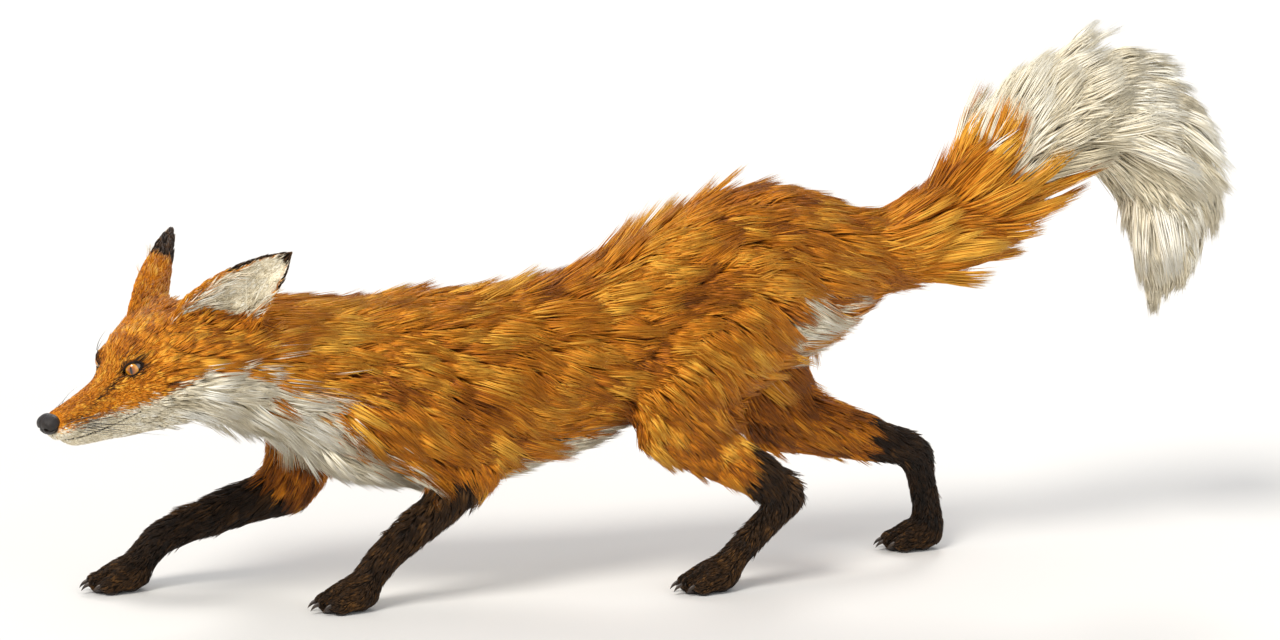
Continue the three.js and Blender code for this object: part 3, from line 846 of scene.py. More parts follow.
def ear_half(up_ear):
    """Half an ear's width, by how far up it."""
    v = np.clip(up_ear, 0, 1)
    return EAR_HALF_WIDTH * (1 - v * v) ** 0.86 * (1 - 0.45 * (1 - v) ** 5) + 1.2


def on_ear(points, face_normals, side):
    """Across an ear, 1 at its upper edge, up it from 0 to 1, and how squarely a place faces outwards."""
    flip = np.array((side, 1, 1))
    way, faces = EAR_POINTS * flip, EAR_FACES * flip
    faces = unit(faces - way * (faces @ way))
    across = np.cross(way, faces)
    across *= np.sign(across[2])
    off = in_head(points) - ear_roots[side]
    up_ear = off @ way / EAR_LENGTH
    return off @ across / ear_half(up_ear), up_ear, face_normals @ faces


def leg_of(name):
    return name.replace("forepaw", "foreleg").replace("hindpaw", "hindleg")


def side_of(name):
    return 1 if name.endswith("left") else -1


def bone_of(name):
    """The line that the hair on a length of flesh follows."""
    if name in ("head", "lower_jaw"):
        return HEAD_BONE
    if name.startswith("ear"):
        side = side_of(name)
        return from_head([ear_roots[side], ear_roots[side] + EAR_POINTS * (side, 1, 1) * EAR_LENGTH])
    if name.startswith("tail"):
        return BONES["tail"]
    return BONES[leg_of(name)]


def way_along(points, path):
    """As onto_path, with the direction of the path's stretch nearest to each point."""
    nearest, along = onto_path(points, path)
    ends = np.cumsum(np.linalg.norm(np.diff(path, axis=0), axis=1))
    stretch = np.minimum(np.searchsorted(ends, along), len(path) - 2)
    ways = np.diff(path, axis=0)
    return nearest, along, (ways / np.linalg.norm(ways, axis=1)[:, None])[stretch]


WAVES = 5


def wobble(points, size, seed):
    """A smooth uneven value, mostly between -1 and 1, that changes over about this many millimetres."""
    waves = np.zeros(len(points))
    rng = np.random.default_rng(seed)
    for _ in range(WAVES):
        way = rng.normal(size=3)
        way /= np.linalg.norm(way)
        turns = points @ way / (size * MM) * 2 * math.pi * rng.uniform(0.7, 1.4)
        waves += np.sin(turns + rng.uniform(0, 6.3))
    return waves / 3


STOCKING = {  # how far down each leg's bone the dark begins, in millimetres
    "foreleg_left": 130, "foreleg_right": 112, "hindleg_left": 218, "hindleg_right": 205}
TAIL_PALE_FROM = 163  # along the brush's bone
PALE_BEHIND = [  # pale patches under the root of the brush: where each is, how long each way, and its reach
    ((0, 138, 226), (1.5, 1, 1), 24),
    ((45, 116, 224), (1, 0.9, 1.4), 15)]
FACE_PALE = np.array([  # the upper edge of the face's pale: how far back and how far up
    (-90, -22), (-72, -23), (-50, -24), (-28, -26), (-8, -27), (8, -22), (24, -17), (44, -16), (80, -26)])
DARK_ROUND_LIDS = 2.6
STREAK_LENGTH = 36  # the dark streak that runs from each eye down the muzzle
EAR_DARK_FROM = 0.66  # up the back of the ear
# The skin is pale where it faces down, or ahead on the chest, more squarely than this.
NECK_PALE_FROM, CHEST_PALE_FROM, BELLY_PALE_FROM = 0.12, 0.52, 0.56
INSIDE_PALE_FROM = 0.72  # and on a leg, where it faces the other leg
NO_MARK = -30.0


def markings(points, normals, numbers):
    """How far inside the pale and inside the dark each place lies."""
    pale, dark = np.full(len(points), NO_MARK), np.full(len(points), NO_MARK)
    x, y, z = in_head(points).T
    face_normals = normals @ HEAD
    for number, name in enumerate(FLESH):
        here = numbers == number
        if not here.any():
            continue
        out, spot = normals[here], points[here]
        nearest, along, way = way_along(spot, bone_of(name))
        along = along / MM
        if name in ("head", "lower_jaw"):
            hx, hy, hz = x[here], y[here], z[here]
            pale[here] = np.interp(hy, FACE_PALE[:, 0], FACE_PALE[:, 1]) - hz + 1.5 * wobble(spot, 14, 3)
            streak = np.clip((hy + 14) / -STREAK_LENGTH, 0, 1)
            off_streak = np.hypot(np.abs(hx) - (13.0 - 1.0 * streak), hz - (-5 - 13 * streak))
            dark[here] = 2.0 * (1 - streak) - off_streak
            dark[here] = np.maximum(dark[here], DARK_ROUND_LIDS - np.maximum(lid_edge[here], 0))
        elif name.startswith("ear"):
            across, up_ear, facing = on_ear(spot, face_normals[here], side_of(name))
            half = ear_half(up_ear)
            inner = facing > 0.1
            pale[here] = np.where(inner, (EAR_RIM - np.abs(across)) * half + 1.2 * wobble(spot, 9, 8), -20)
            tip = (up_ear - EAR_DARK_FROM) * EAR_LENGTH + 9 * across + 3 * wobble(spot, 16, 4)
            dark[here] = np.where(inner & (np.abs(across) < EAR_RIM), (up_ear - 0.9) * EAR_LENGTH, tip)
        elif name == "neck":
            pale[here] = (-out[:, 2] - NECK_PALE_FROM - 0.22 * ramp(0, 130, along)) * 30
        elif name == "trunk":
            chest = (-0.75 * out[:, 1] - 0.65 * out[:, 2] - CHEST_PALE_FROM) * 34
            chest -= 40 * ramp(70, 130, along)
            belly = (-out[:, 2] - BELLY_PALE_FROM) * 34
            pale[here] = np.maximum(belly, chest)
        elif name.startswith("tail"):
            under = -(out @ np.array((0, 0, 1)))
            pale[here] = along - TAIL_PALE_FROM - 24 * under + 16 * wobble(spot, 30, 6)
        else:
            leg = leg_of(name)
            behind = out[:, 1] if leg.startswith("hind") else out[:, 1] * 0.4
            dark[here] = along - STOCKING[leg] + 24 * behind + 5 * wobble(spot, 26, 7)
            inward = -out[:, 0] * np.sign(bone_of(name)[0, 0])
            pale_ends = 30 if leg.startswith("fore") else 5
            pale[here] = (inward - INSIDE_PALE_FROM) * 22 - 0.5 * np.maximum(along - pale_ends, 0)
    return pale, dark


def run_together(pale, numbers):
    """The pale of neck, breast, belly and legs, with no step where one length meets the next."""
    body = on_lengths(numbers, "trunk", "neck", "foreleg", "hindleg").astype(float)
    even = hide.spread(np.maximum(pale, -25 * body - 30 * (1 - body)), 40, hide.spread(body, 6))
    even += 3 * body * wobble(points, 30, 5)
    places = np.column_stack([np.abs(points[:, 0] / MM - MIDLINE), points[:, 1:] / MM])
    for at, stretch, reach in PALE_BEHIND:
        even = np.maximum(even, reach - np.linalg.norm((places - at) / stretch, axis=1))
    return even


# ---------------------------------------------------------------- the lie of the coat
# Hair runs back from the nose over head and back, slants down over the flanks, and follows the bones down
# the legs and along the brush. It is short on face and feet, and longest on the brush.
points = positions(skin.data)
nearest_worked = worked_at(points)
numbers = worked_numbers[nearest_worked]
rise = worked_rise[nearest_worked]  # how deep the coat is
limb_edge = worked_edge[nearest_worked]
normals = normals_of(skin.data)

lie = np.zeros((len(points), 3))
length, width, room, clump = (np.zeros(len(points)) for _ in range(4))
FUR = {  # a tuft's length and width in mm, the skin that each has in mm2, and a lock's reach in mm
    "trunk": (40, 1.45, 3.58, 10),
    "neck": (40, 1.4, 3.0, 9.5),
    "head": (5.5, 0.75, 1.2, 2.6),
    "lower_jaw": (5, 0.75, 1.25, 2.6),
    "ear": (6, 0.85, 2.3, 3),
    "tail": (68, 1.7, 2.6, 14),
    "foreleg": (26, 1.35, 3.4, 7),
    "hindleg": (30, 1.4, 4.0, 8),
    "forepaw": (4.2, 0.8, 1.35, 2.4),
    "hindpaw": (4.2, 0.8, 1.35, 2.4)}
BACK_OF_HEAD = (9, 0.5, 1.2, 3.2)  # how much more of each there is at the back of the head
ON_CHEEK = (20, 0.5, 0.8, 2.5)  # and on the cheeks
LOW_ON_LEG = (9, 1.05, 2.3, 3.2)  # what each comes down to on the lower leg
HEEL_LONGER = 3.5
BRUSH_ROOT_SHORTER = 26
heads = in_head(points)
for number, name in enumerate(FLESH):
    here = numbers == number
    sort = name.split("_")[0] if name != "lower_jaw" else name
    length[here], width[here], room[here], clump[here] = FUR[sort]
    nearest, along, way = way_along(points[here], bone_of(name))
    along = along / MM
    down = np.abs(normals[here][:, :1]) * (0, 0, -1)
    if name in ("head", "lower_jaw"):
        way = (heads[here] - (0, -112, -8)) @ HEAD.T
        cheek = ramp(0, 40, heads[here][:, 1]) * ramp(16, -14, heads[here][:, 2])
        back = ramp(-35, 55, heads[here][:, 1])
        mouth_side = ramp(5, 1, np.abs(mouth_gap(heads[here]))) * ramp(0, -12, heads[here][:, 1])
        way = way * (1 - 0.9 * mouth_side[:, None]) + 90 * mouth_side[:, None] * head_back
        for values, at_back, at_cheek in zip((length, width, room, clump), BACK_OF_HEAD, ON_CHEEK):
            values[here] += at_back * back + at_cheek * cheek
        length[here] *= 1 - 0.5 * mouth_side
    elif name in ("trunk", "neck"):
        way = way + (0.45 + 0.5 * ramp(40, 120, points[here][:, 1] / MM))[:, None] * down
        length[here] *= 1 - 0.35 * limb_edge[here]
        room[here] *= 1 - 0.25 * limb_edge[here]
    elif name.startswith("hindleg"):
        thigh = ramp(150, 90, along)[:, None]
        front = ramp(0.1, -0.6, normals[here][:, 1])[:, None]
        way = way * (1 - thigh) + thigh * (np.array((0, 0.55, -0.85)) + front * (0, -0.6, -0.1))
    elif name.startswith("tail"):
        length[here] -= BRUSH_ROOT_SHORTER * ramp(150, 50, along)
    if "leg" in name:
        short = ramp(90, 175, along) if name.startswith("fore") else ramp(150, 250, along)
        for values, low_down in zip((length, width, room, clump), LOW_ON_LEG):
            values[here] += (low_down - values[here]) * short
    if name in PAWS:
        length[here] += HEEL_LONGER * ramp(-16, 8, in_foot(name, points[here])[:, 1])
    lie[here] = way / np.linalg.norm(way, axis=1)[:, None]


def along_skin(ways, normals):
    ways = ways - normals * (ways * normals).sum(axis=1)[:, None]
    return ways / (np.linalg.norm(ways, axis=1)[:, None] + 1e-9)


lie = along_skin(lie, normals)
on_legs = on_lengths(numbers, "foreleg", "hindleg")
on_body = (on_legs | on_lengths(numbers, "trunk", "neck")).astype(float)
for share in [1.0] * 6 + [on_body] * 8:
    lie = along_skin(hide.spread(lie, 5, share), normals)
length, width, room, clump = (hide.spread(values, 12) for values in (length, width, room, clump))
rise = hide.spread(rise, 6)
pale, dark = markings(points, normals, numbers)
pale = run_together(pale, numbers)

# Where locks stand up from the rest: along the back, at throat, elbow and haunch, and on the brush. And the
# painted shade in the coat's colour: darker in the creases where thigh and upper arm meet the trunk, in the
# skin's hollows, on the inner sides of the legs and deep in the ears, with a painted highlight on the rim of
# thigh and upper arm.
STANDS = {"anywhere": 0.05, "back": 0.33, "limb_edge": 0.4, "throat": 0.45, "behind_leg": 0.22,
          "under_leg": 0.3, "brush": 0.17}
PAINTED_SHADE_AND_HIGHLIGHT = {"limb_edge": 0.30, "hollow": 0.14, "limb": -0.15, "inside_leg": 0.26, "inside_ear": 0.40}
upward, rearward, y_here = normals[:, 2], normals[:, 1], points[:, 1] / MM
throat = on_lengths(numbers, "neck")
throat |= on_lengths(numbers, "head", "lower_jaw") & (heads[:, 1] > 0)
# The rim of each thigh and upper arm, where locks stand up and the coat gets a painted highlight.
lobe = np.clip(1.6 * hide.spread(limb_edge, 12), 0, 1) * on_legs * ramp(0.1, 0.5, np.abs(normals[:, 0]))
ruffle = np.full(len(points), STANDS["anywhere"])
ruffle += (STANDS["back"] * ramp(0.45, 0.85, upward) * ramp(-190, -110, y_here) * ramp(110, 50, y_here)
           * on_lengths(numbers, "trunk"))
ruffle += STANDS["limb_edge"] * lobe
ruffle += STANDS["throat"] * ramp(-0.1, -0.5, upward) * throat
hanging = STANDS["behind_leg"] * ramp(0.3, 0.7, np.abs(rearward))
hanging += STANDS["under_leg"] * ramp(-0.1, -0.5, upward)
ruffle += hanging * ramp(70, 100, points[:, 2] / MM) * on_legs
ruffle += STANDS["brush"] * on_lengths(numbers, "tail")

# How deep each point lies in a hollow of the skin, where the coat gets painted shade.
hollow = ((hide.spread(points, 30) - points) * normals).sum(axis=1)
inward = -normals[:, 0] * np.sign(points[:, 0] - MIDLINE * MM)
# Painted shade in the creases where thigh and upper arm meet the trunk and in the hollows, less a painted
# highlight on the rim of thigh and upper arm.
darker = PAINTED_SHADE_AND_HIGHLIGHT["limb_edge"] * limb_edge + PAINTED_SHADE_AND_HIGHLIGHT["hollow"] * ramp(0.2, 1.4, hollow / MM)
shade = -(darker + PAINTED_SHADE_AND_HIGHLIGHT["limb"] * lobe)
# Painted shade on the inner sides of the legs, where they face each other.
shade -= PAINTED_SHADE_AND_HIGHLIGHT["inside_leg"] * ramp(0.1, 0.7, inward) * on_legs
fringe = np.zeros(len(points), bool)  # the long hair inside the ears' edges
for number, name in enumerate(FLESH):
    if name.startswith("ear"):
        here = numbers == number
        across, up_ear, facing = on_ear(points[here], (normals @ HEAD)[here], side_of(name))
        # Painted shade deep in the hollow of each ear.
        deep_in = (facing > 0.1) * ramp(0.62, 0.15, up_ear) * ramp(0.75, 0.2, np.abs(across))
        shade[here] = -PAINTED_SHADE_AND_HIGHLIGHT["inside_ear"] * deep_in
        fringe[here] = ((facing > 0.1) & (np.abs(across) > 0.42) & (np.abs(across) < 0.84)
                        & (up_ear > 0.02) & (up_ear < 0.62))

triangles = np.array([face.vertices[:] for face in skin.data.polygons])
corners = points[triangles]
doubled = np.cross(corners[:, 1] - corners[:, 0], corners[:, 2] - corners[:, 0])
areas = np.linalg.norm(doubled, axis=1) / 2 / MM ** 2
in_eye = lid_edge < 0.95
to_pad = np.linalg.norm((heads - NOSE_MIDDLE) / (NOSE_HALF + 0.6), axis=1)
sole = (normals[:, 2] < -0.55) & (points[:, 2] < 4 * MM)
in_mouth = (np.abs(mouth_gap(heads)) < 0.5) & (heads[:, 1] < -8) & on_face(points)
bare = in_eye | (to_pad < 1) | sole | in_mouth

# The skin under the hair is darker than it, with painted shade where the coat over it is deep, the coat's
# painted shade and highlight, and a darker tone under the dark markings; and bare leather on the soles and
# the edges of lids and lips.
hide_marks = skin.data.attributes.new("marks", "FLOAT_COLOR", "POINT")
lip_line = (np.abs(mouth_gap(heads)) < 0.75) * (heads[:, 1] < -8) * on_face(points)
bare_amount = np.clip(sole + ramp(2.3, 1.1, lid_edge) + lip_line, 0, 1)
# Painted shade: the skin darkens where the coat over it is deep and takes the coat's painted shade and
# highlight; it is darker too under the dark markings.
darker = np.clip(0.6 * ramp(4, 20, rise / MM) - shade + ramp(-3, 3, dark), 0, 1)
mark_columns = [ramp(-3, 3, pale), ramp(-3, 3, dark), bare_amount, darker]
hide_marks.data.foreach_set("color", np.stack(mark_columns, axis=1).ravel())
skin.data.polygons.foreach_set("use_smooth", [True] * len(skin.data.polygons))

RUSSET = ((0.0, "#552e08"), (0.3, "#a1590e"), (0.62, "#d58317"), (1.0, "#f2b742"))
PALE = ((0.0, "#9c8d70"), (0.35, "#dccfb0"), (0.7, "#f9efd6"), (1.0, "#fffbee"))
DARK = ((0.0, "#100903"), (0.4, "#271706"), (0.75, "#40290f"), (1.0, "#6b4820"))


def marked(finish, tone, pale_share, dark_share):
    """Russet, pale or dark, in its lighter and darker tones."""
    upper = finish.mix(pale_share, finish.tones(tone, *RUSSET), finish.tones(tone, *PALE))
    return finish.mix(dark_share, upper, finish.tones(tone, *DARK))


hide_finish = Finish("hide", Roughness=0.8, Specular_IOR_Level=0.12)
marks = hide_finish.node("ShaderNodeAttribute", {"attribute_name": "marks"})
parts = hide_finish.node("ShaderNodeSeparateColor", Color=marks.outputs["Color"])
grain = hide_finish.noise(hide_finish.place(), 900.0, 4.0)
painted_shade_and_dark_skin = hide_finish.sum("MULTIPLY", marks.outputs["Alpha"], 0.3)
tone = hide_finish.between(hide_finish.sum("SUBTRACT", grain, painted_shade_and_dark_skin), 0.1, 0.8, 0.0, 0.75)
under = marked(hide_finish, tone, parts.outputs[0], parts.outputs[1])
leather_tone = hide_finish.tones(grain, (0.3, "#17110e"), (0.7, "#2c211b"))
under = hide_finish.mix(parts.outputs[2], under, leather_tone)
hide_finish.set(hide_finish.shader, Base_Color=under, Normal=hide_finish.bump(grain, 0.5, 0.4 * MM))
skin.data.materials.append(hide_finish.material)

# Hair: each tuft carries its markings, its own tone with painted shade and highlight in it, and how far out
# along it a point is.
hair = Finish("fox_hair", Roughness=0.5, Specular_IOR_Level=0.2, Sheen_Weight=0.03, Sheen_Roughness=0.4)
marks = hair.node("ShaderNodeAttribute", {"attribute_name": "marks"})
parts = hair.node("ShaderNodeSeparateColor", Color=marks.outputs["Color"])
fine = hair.noise(hair.place(), 1500.0, 2.0)
tone = hair.sum("ADD", parts.outputs[2], hair.sum("MULTIPLY", hair.sum("SUBTRACT", fine, 0.5), 0.22))
# Each tuft darkens towards its root and lightens a little at its tip: partly the darker base that real hair
# has, partly painted shade deep in the coat.
tone = hair.sum("ADD", tone, hair.between(marks.outputs["Alpha"], 0.0, 0.7, -0.20, 0.05), clamp=True)
hair.set(hair.shader, Base_Color=marked(hair, tone, parts.outputs[0], parts.outputs[1]))

# ---------------------------------------------------------------- the tufts
# A tuft is a thin three-sided blade that rises from the skin and lies down along it. Tufts lean together to
# pointed locks, and the locks overlap like thatch.
TIP_PROUD = 8 * MM  # how far a tip may stand out of the fox's box
ROOT_SUNK = 0.5 * MM  # how far a tuft's foot lies in the skin
TIP_CLEAR, BEND_CLEAR = 0.3 * MM, 0.5 * MM  # the least height of a tip and of a bend above the floor
BLADE = {  # by its number of joints: how far along the tuft each ring lies, and its share of the width
    3: ((0, 0.7), (0.42, 1.0), (0.76, 0.66)),
    2: ((0, 0.8), (0.5, 0.9))}
UNDER_LENGTH, UNDER_WIDTH, UNDER_DEPTH = 0.62, 1.8, 0.6  # the undercoat's tufts against the others
BIG_LOCK = 2.3  # locks gather again to larger ones, so many times as wide
STANDS_OUT = 0.42  # how far a tuft that stands up leaves the coat, as a share of its length
# The tufts' middle tone, a painted highlight on locks that stand up, and a lower tone for the undercoat.
MIDDLE_TONE, STANDING_PAINTED_HIGHLIGHT, UNDER_TONE = 0.59, 0.22, -0.02
PATCH = 0.003  # how wide each tuft's patch of the bake's map is
ground = BVHTree.FromPolygons(points.tolist(), triangles.tolist())


def turned(ways, normals, angles):
    """Directions turned about the normals."""
    aside = np.cross(normals, ways)
    return ways * np.cos(angles)[:, None] + aside * np.sin(angles)[:, None]


class Tufts:
    """The tufts of one piece of coat, from their roots to their shape and marks."""

    def __init__(self, here, seed, count):
        """Sets the roots on the chosen triangles of skin, by the skin that each tuft has."""
        self.rng = np.random.default_rng(seed)
        chosen = np.flatnonzero(here)
        weight = areas[chosen] / room[triangles[chosen]].mean(axis=1) * count
        self.count = int(weight.sum())
        steps = (np.arange(self.count) + self.rng.random(self.count)) / self.count * weight.sum()
        self.chosen = chosen[np.searchsorted(np.cumsum(weight), steps)]
        shares = self.rng.random((self.count, 2))
        outside = shares.sum(axis=1) > 1
        shares[outside] = 1 - shares[outside]
        self.shares = np.column_stack([shares, 1 - shares.sum(axis=1)])
        self.root, out = self.blend(points), self.blend(normals)
        self.out = out / np.linalg.norm(out, axis=1)[:, None]
        self.ways = along_skin(self.blend(lie), self.out)
        self.room = self.blend(room) / count

    def blend(self, values):
        """The skin's values at the roots."""
        shares = self.shares.reshape(self.shares.shape + (1,) * (values.ndim - 1))
        return (values[triangles[self.chosen]] * shares).sum(axis=1)

    def measure(self, stand, under, longer):
        """Each tuft's size, and whether it is undercoat, which closes the gaps between locks."""
        self.chance = self.blend(ruffle) * stand
        self.low = self.rng.random(self.count) < under + 0.3 * self.chance
        self.deep = self.blend(rise) * np.where(self.low, UNDER_DEPTH, 1)
        self.long = self.blend(length) * MM * longer * self.rng.uniform(0.78, 1.12, self.count)
        self.long *= np.where(self.low, UNDER_LENGTH, 1)
        self.wide = self.blend(width) * MM * self.rng.uniform(0.75, 1.2, self.count)
        self.wide *= np.where(self.low, UNDER_WIDTH, 1)

    def gathered(self, reach):
        """For each root the number of the root in the middle of its lock, about within this reach."""
        fit = self.rng.random(self.count) < np.minimum(1, self.room / (math.pi * (reach * 0.62) ** 2))
        middles = np.flatnonzero(fit & ~self.low)
        tree = kdtree.KDTree(len(middles))
        for i, m in enumerate(middles.tolist()):
            tree.insert(self.root[m], i)
        tree.balance()
        return middles[[tree.find(p)[1] for p in self.root.tolist()]]

    def uneven(self, base, by_tuft, by_lock, by_big_lock):
        """The base and a chance part for each tuft, for its lock and for its larger lock."""
        draw = self.rng.normal
        return (base + draw(0, by_tuft, self.count) + draw(0, by_lock, self.count)[self.lock]
                + draw(0, by_big_lock, self.count)[self.big_lock])

    def share_locks(self, messy):
        """Divides the tufts into locks. A lock's tufts turn, rise and stand up together."""
        reach = self.blend(clump)
        self.lock = self.gathered(reach)
        self.big_lock = self.lock[self.gathered(reach * BIG_LOCK)]
        angles = np.radians(self.uneven(0, messy * 0.7, messy, messy * 0.8))
        self.ways = turned(self.ways, self.out, angles)
        self.stands = (self.rng.random(self.count) < self.chance)[self.lock]
        self.stands = self.stands * self.rng.uniform(0.4, 1.0, self.count)[self.lock]
        self.level = 1 + 0.13 * np.clip(self.rng.normal(0, 1, self.count)[self.lock], -1.6, 1.6)
        self.level += 0.10 * np.clip(self.rng.normal(0, 1, self.count)[self.big_lock], -1.6, 1.6)

    def lay_down(self, inset_most):
        """Lays each tip just inside the fox's outline, or near the skin where the coat is short."""
        root, out, ways, deep, long = self.root, self.out, self.ways, self.deep, self.long
        aim = root + ways * long[:, None] + out * deep[:, None]
        tip = np.array([form.find_nearest(p)[0] for p in aim.tolist()])
        under_aim = [ground.find_nearest(p)[:2] for p in aim.tolist()]
        at, away = (np.array(values) for values in zip(*under_aim))
        short_tip = at + away * np.maximum(deep, 0.15 * long)[:, None] * self.level[:, None]
        deep_share = ramp(3 * MM, 8 * MM, deep)[:, None] * (1 - 0.75 * self.low[:, None])
        inset = deep * (self.rng.uniform(0.0, inset_most, self.count) + 1.0 - self.level) + 0.4 * MM
        tip = (tip - out * inset[:, None]) * deep_share + short_tip * (1 - deep_share)
        self.stands = self.stands * ~self.low
        self.tip = tip + (out * STANDS_OUT + ways * 0.1) * (self.stands * long)[:, None]
        rises = np.maximum(deep * 0.75, 0.16 * long)
        self.bend = root + out * rises[:, None] + ways * (long * 0.32)[:, None]

    def lean(self, gather):
        """Draws the tips of each lock together to a point, and keeps them all in the fox's box."""
        for middles, share in zip((self.lock, self.big_lock), gather):
            apart = np.linalg.norm(self.root - self.root[middles], axis=1)
            close = np.exp(-(apart / (self.long * 0.8 + 3 * MM)) ** 2)[:, None] * share
            close = close * (1 - 0.8 * self.low)[:, None]
            point = self.tip[middles] + (self.ways[middles] * (self.long[middles] * 0.12)[:, None])
            self.tip = self.tip + (point - self.tip) * close
            self.bend = self.bend + (self.bend[middles] - self.bend) * close * 0.35
        self.tip = self.tip + self.rng.normal(0, 1, (self.count, 3)) * (0.03 * self.long)[:, None]
        self.tip = np.clip(self.tip, np.array(cad_box[0]) - TIP_PROUD, np.array(cad_box[1]) + TIP_PROUD)
        self.tip[:, 2] = np.maximum(self.tip[:, 2], TIP_CLEAR)
        self.bend[:, 2] = np.maximum(self.bend[:, 2], BEND_CLEAR)

    def blades(self, stops):
        """Each tuft's points: three to a ring, then its tip."""
        aside = np.cross(self.ways, self.out)
        roll = np.radians(self.rng.uniform(-35, 35, self.count))[:, None]
        up = self.out * np.cos(roll) - aside * np.sin(roll)
        aside = aside * np.cos(roll) + self.out * np.sin(roll)
        start = self.root - self.out * ROOT_SUNK
        rings = []
        for at, swell in stops:
            line = start * (1 - at) ** 2 + 2 * self.bend * at * (1 - at) + self.tip * at ** 2
            half = (self.wide * swell / 2)[:, None]
            rings += [line - aside * half, line + aside * half, line + up * half * 0.8]
        return np.stack(rings + [self.tip], axis=1)

    def edge_of(self, values, by_tuft, by_lock):
        """How far inside a marking each tuft lies, its edge more uneven where the coat is deep."""
        inside = self.blend(values) + self.rng.normal(0, by_tuft, self.count)
        for_lock = self.rng.normal(0, by_lock, self.count)[self.lock]
        return ramp(-1.5, 1.5, inside + for_lock * self.deep / (12 * MM))[:, None]

    def marks(self, stops):
        """For each point, how pale, how dark, its tone, and how far along the tuft it is."""
        along_tuft = np.array([at for at, _ in stops for _ in range(3)] + [1.0])
        marks = np.empty((self.count, len(along_tuft), 4))
        marks[:, :, 0] = self.edge_of(pale, 2.2, 3.0)
        marks[:, :, 1] = self.edge_of(dark, 1.5, 2.5)
        # The tone takes the skin's painted shade and highlight, and standing locks get a painted highlight
        # of their own.
        tone = self.uneven(MIDDLE_TONE + self.blend(shade), 0.10, 0.11, 0.07)
        tone += STANDING_PAINTED_HIGHLIGHT * self.stands + UNDER_TONE * self.low
        marks[:, :, 2], marks[:, :, 3] = np.clip(tone, 0, 1)[:, None], along_tuft[None]
        return marks

    def bake_map(self, stops):
        """Each point's place on the bake's map: a patch a tuft, by its way round the bone and along it."""
        here = numbers[triangles[self.chosen][:, 0]]
        lengths_here = set(here.tolist())
        charts = sorted(set(bone_of(FLESH[n]).tobytes() for n in lengths_here))
        u, v = np.zeros(self.count), np.zeros(self.count)
        for n in lengths_here:
            on = here == n
            path = bone_of(FLESH[n])
            nearest, along, way = way_along(self.root[on], path)
            first = np.cross(way, (0.12, 0.03, 1.0) if abs(way[:, 1].mean()) > 0.5 else (1.0, 0.1, 0.0))
            second = np.cross(way, first)
            off = self.root[on] - nearest
            round_bone = np.arctan2((off * first).sum(axis=1), (off * second).sum(axis=1)) / (2 * math.pi)
            u[on] = (round_bone + 0.5 + charts.index(path.tobytes())) / len(charts)
            v[on] = along
        v = (v - v.min()) / (v.max() - v.min())
        in_patch = [(s * 0.45 - 0.45, at - 0.5) for at, _ in stops for s in (0, 2, 1)] + [(0, 0.5)]
        middles = np.stack([u, v], axis=1)[:, None] * (1 - 2 * PATCH) + PATCH
        return middles + np.array(in_patch)[None] * PATCH


def blade_faces(joints):
    """The faces of one blade: four-sided between its rings, three-sided at its tip and foot."""
    faces = []
    for ring in range(joints - 1):
        a, b = ring * 3, ring * 3 + 3
        faces += [(a + s, b + s, b + (s + 1) % 3, a + (s + 1) % 3) for s in range(3)]
    a = (joints - 1) * 3
    faces += [(a + s, a + 3, a + (s + 1) % 3) for s in range(3)]
    return faces + [(0, 1, 2)]


def grow(name, here, slot, seed, count=1.0, joints=2, gather=(0.66, 0.36), stand=1.0, messy=8.0,
         longer=1.0, under=0.28, inset_most=0.30):
    """Grows one piece of coat from the skin's triangles that are chosen."""
    tufts, stops = Tufts(here, seed, count), BLADE[joints]
    tufts.measure(stand, under, longer)
    tufts.share_locks(messy)
    tufts.lay_down(inset_most)
    tufts.lean(gather)
    shape, marks = tufts.blades(stops), tufts.marks(stops)
    per = shape.shape[1]
    faces = blade_faces(joints)
    of_one = np.array([corner for face in faces for corner in face])
    loops = (of_one[None] + (np.arange(tufts.count) * per)[:, None]).ravel()
    sizes = np.tile([len(face) for face in faces], tufts.count)
    mesh = bpy.data.meshes.new(name)
    mesh.vertices.add(tufts.count * per)
    mesh.vertices.foreach_set("co", shape.ravel())
    mesh.loops.add(len(loops))
    mesh.loops.foreach_set("vertex_index", loops)
    mesh.polygons.add(len(sizes))
    mesh.polygons.foreach_set("loop_start", np.concatenate([[0], np.cumsum(sizes)[:-1]]))
    mesh.polygons.foreach_set("loop_total", sizes)
    mesh.polygons.foreach_set("use_smooth", np.ones(len(sizes), bool))
    mesh.update(calc_edges=True)
    mesh.attributes.new("marks", "FLOAT_COLOR", "POINT").data.foreach_set("color", marks.ravel())
    uv = tufts.bake_map(stops)
    mesh.uv_layers.new(name="OFBake").data.foreach_set("uv", uv.reshape(-1, 2)[loops].ravel())
    mesh.materials.append(hair.material)
    piece = put_in_scene(name, mesh)
    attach(piece, "root")


middle_number = numbers[triangles[:, 0]]
centre_head = heads[triangles].mean(axis=1)
centre = points[triangles].mean(axis=1) / MM
clothed = ~bare[triangles].any(axis=1)


def on(*starts):
    return clothed & on_lengths(middle_number, *starts)


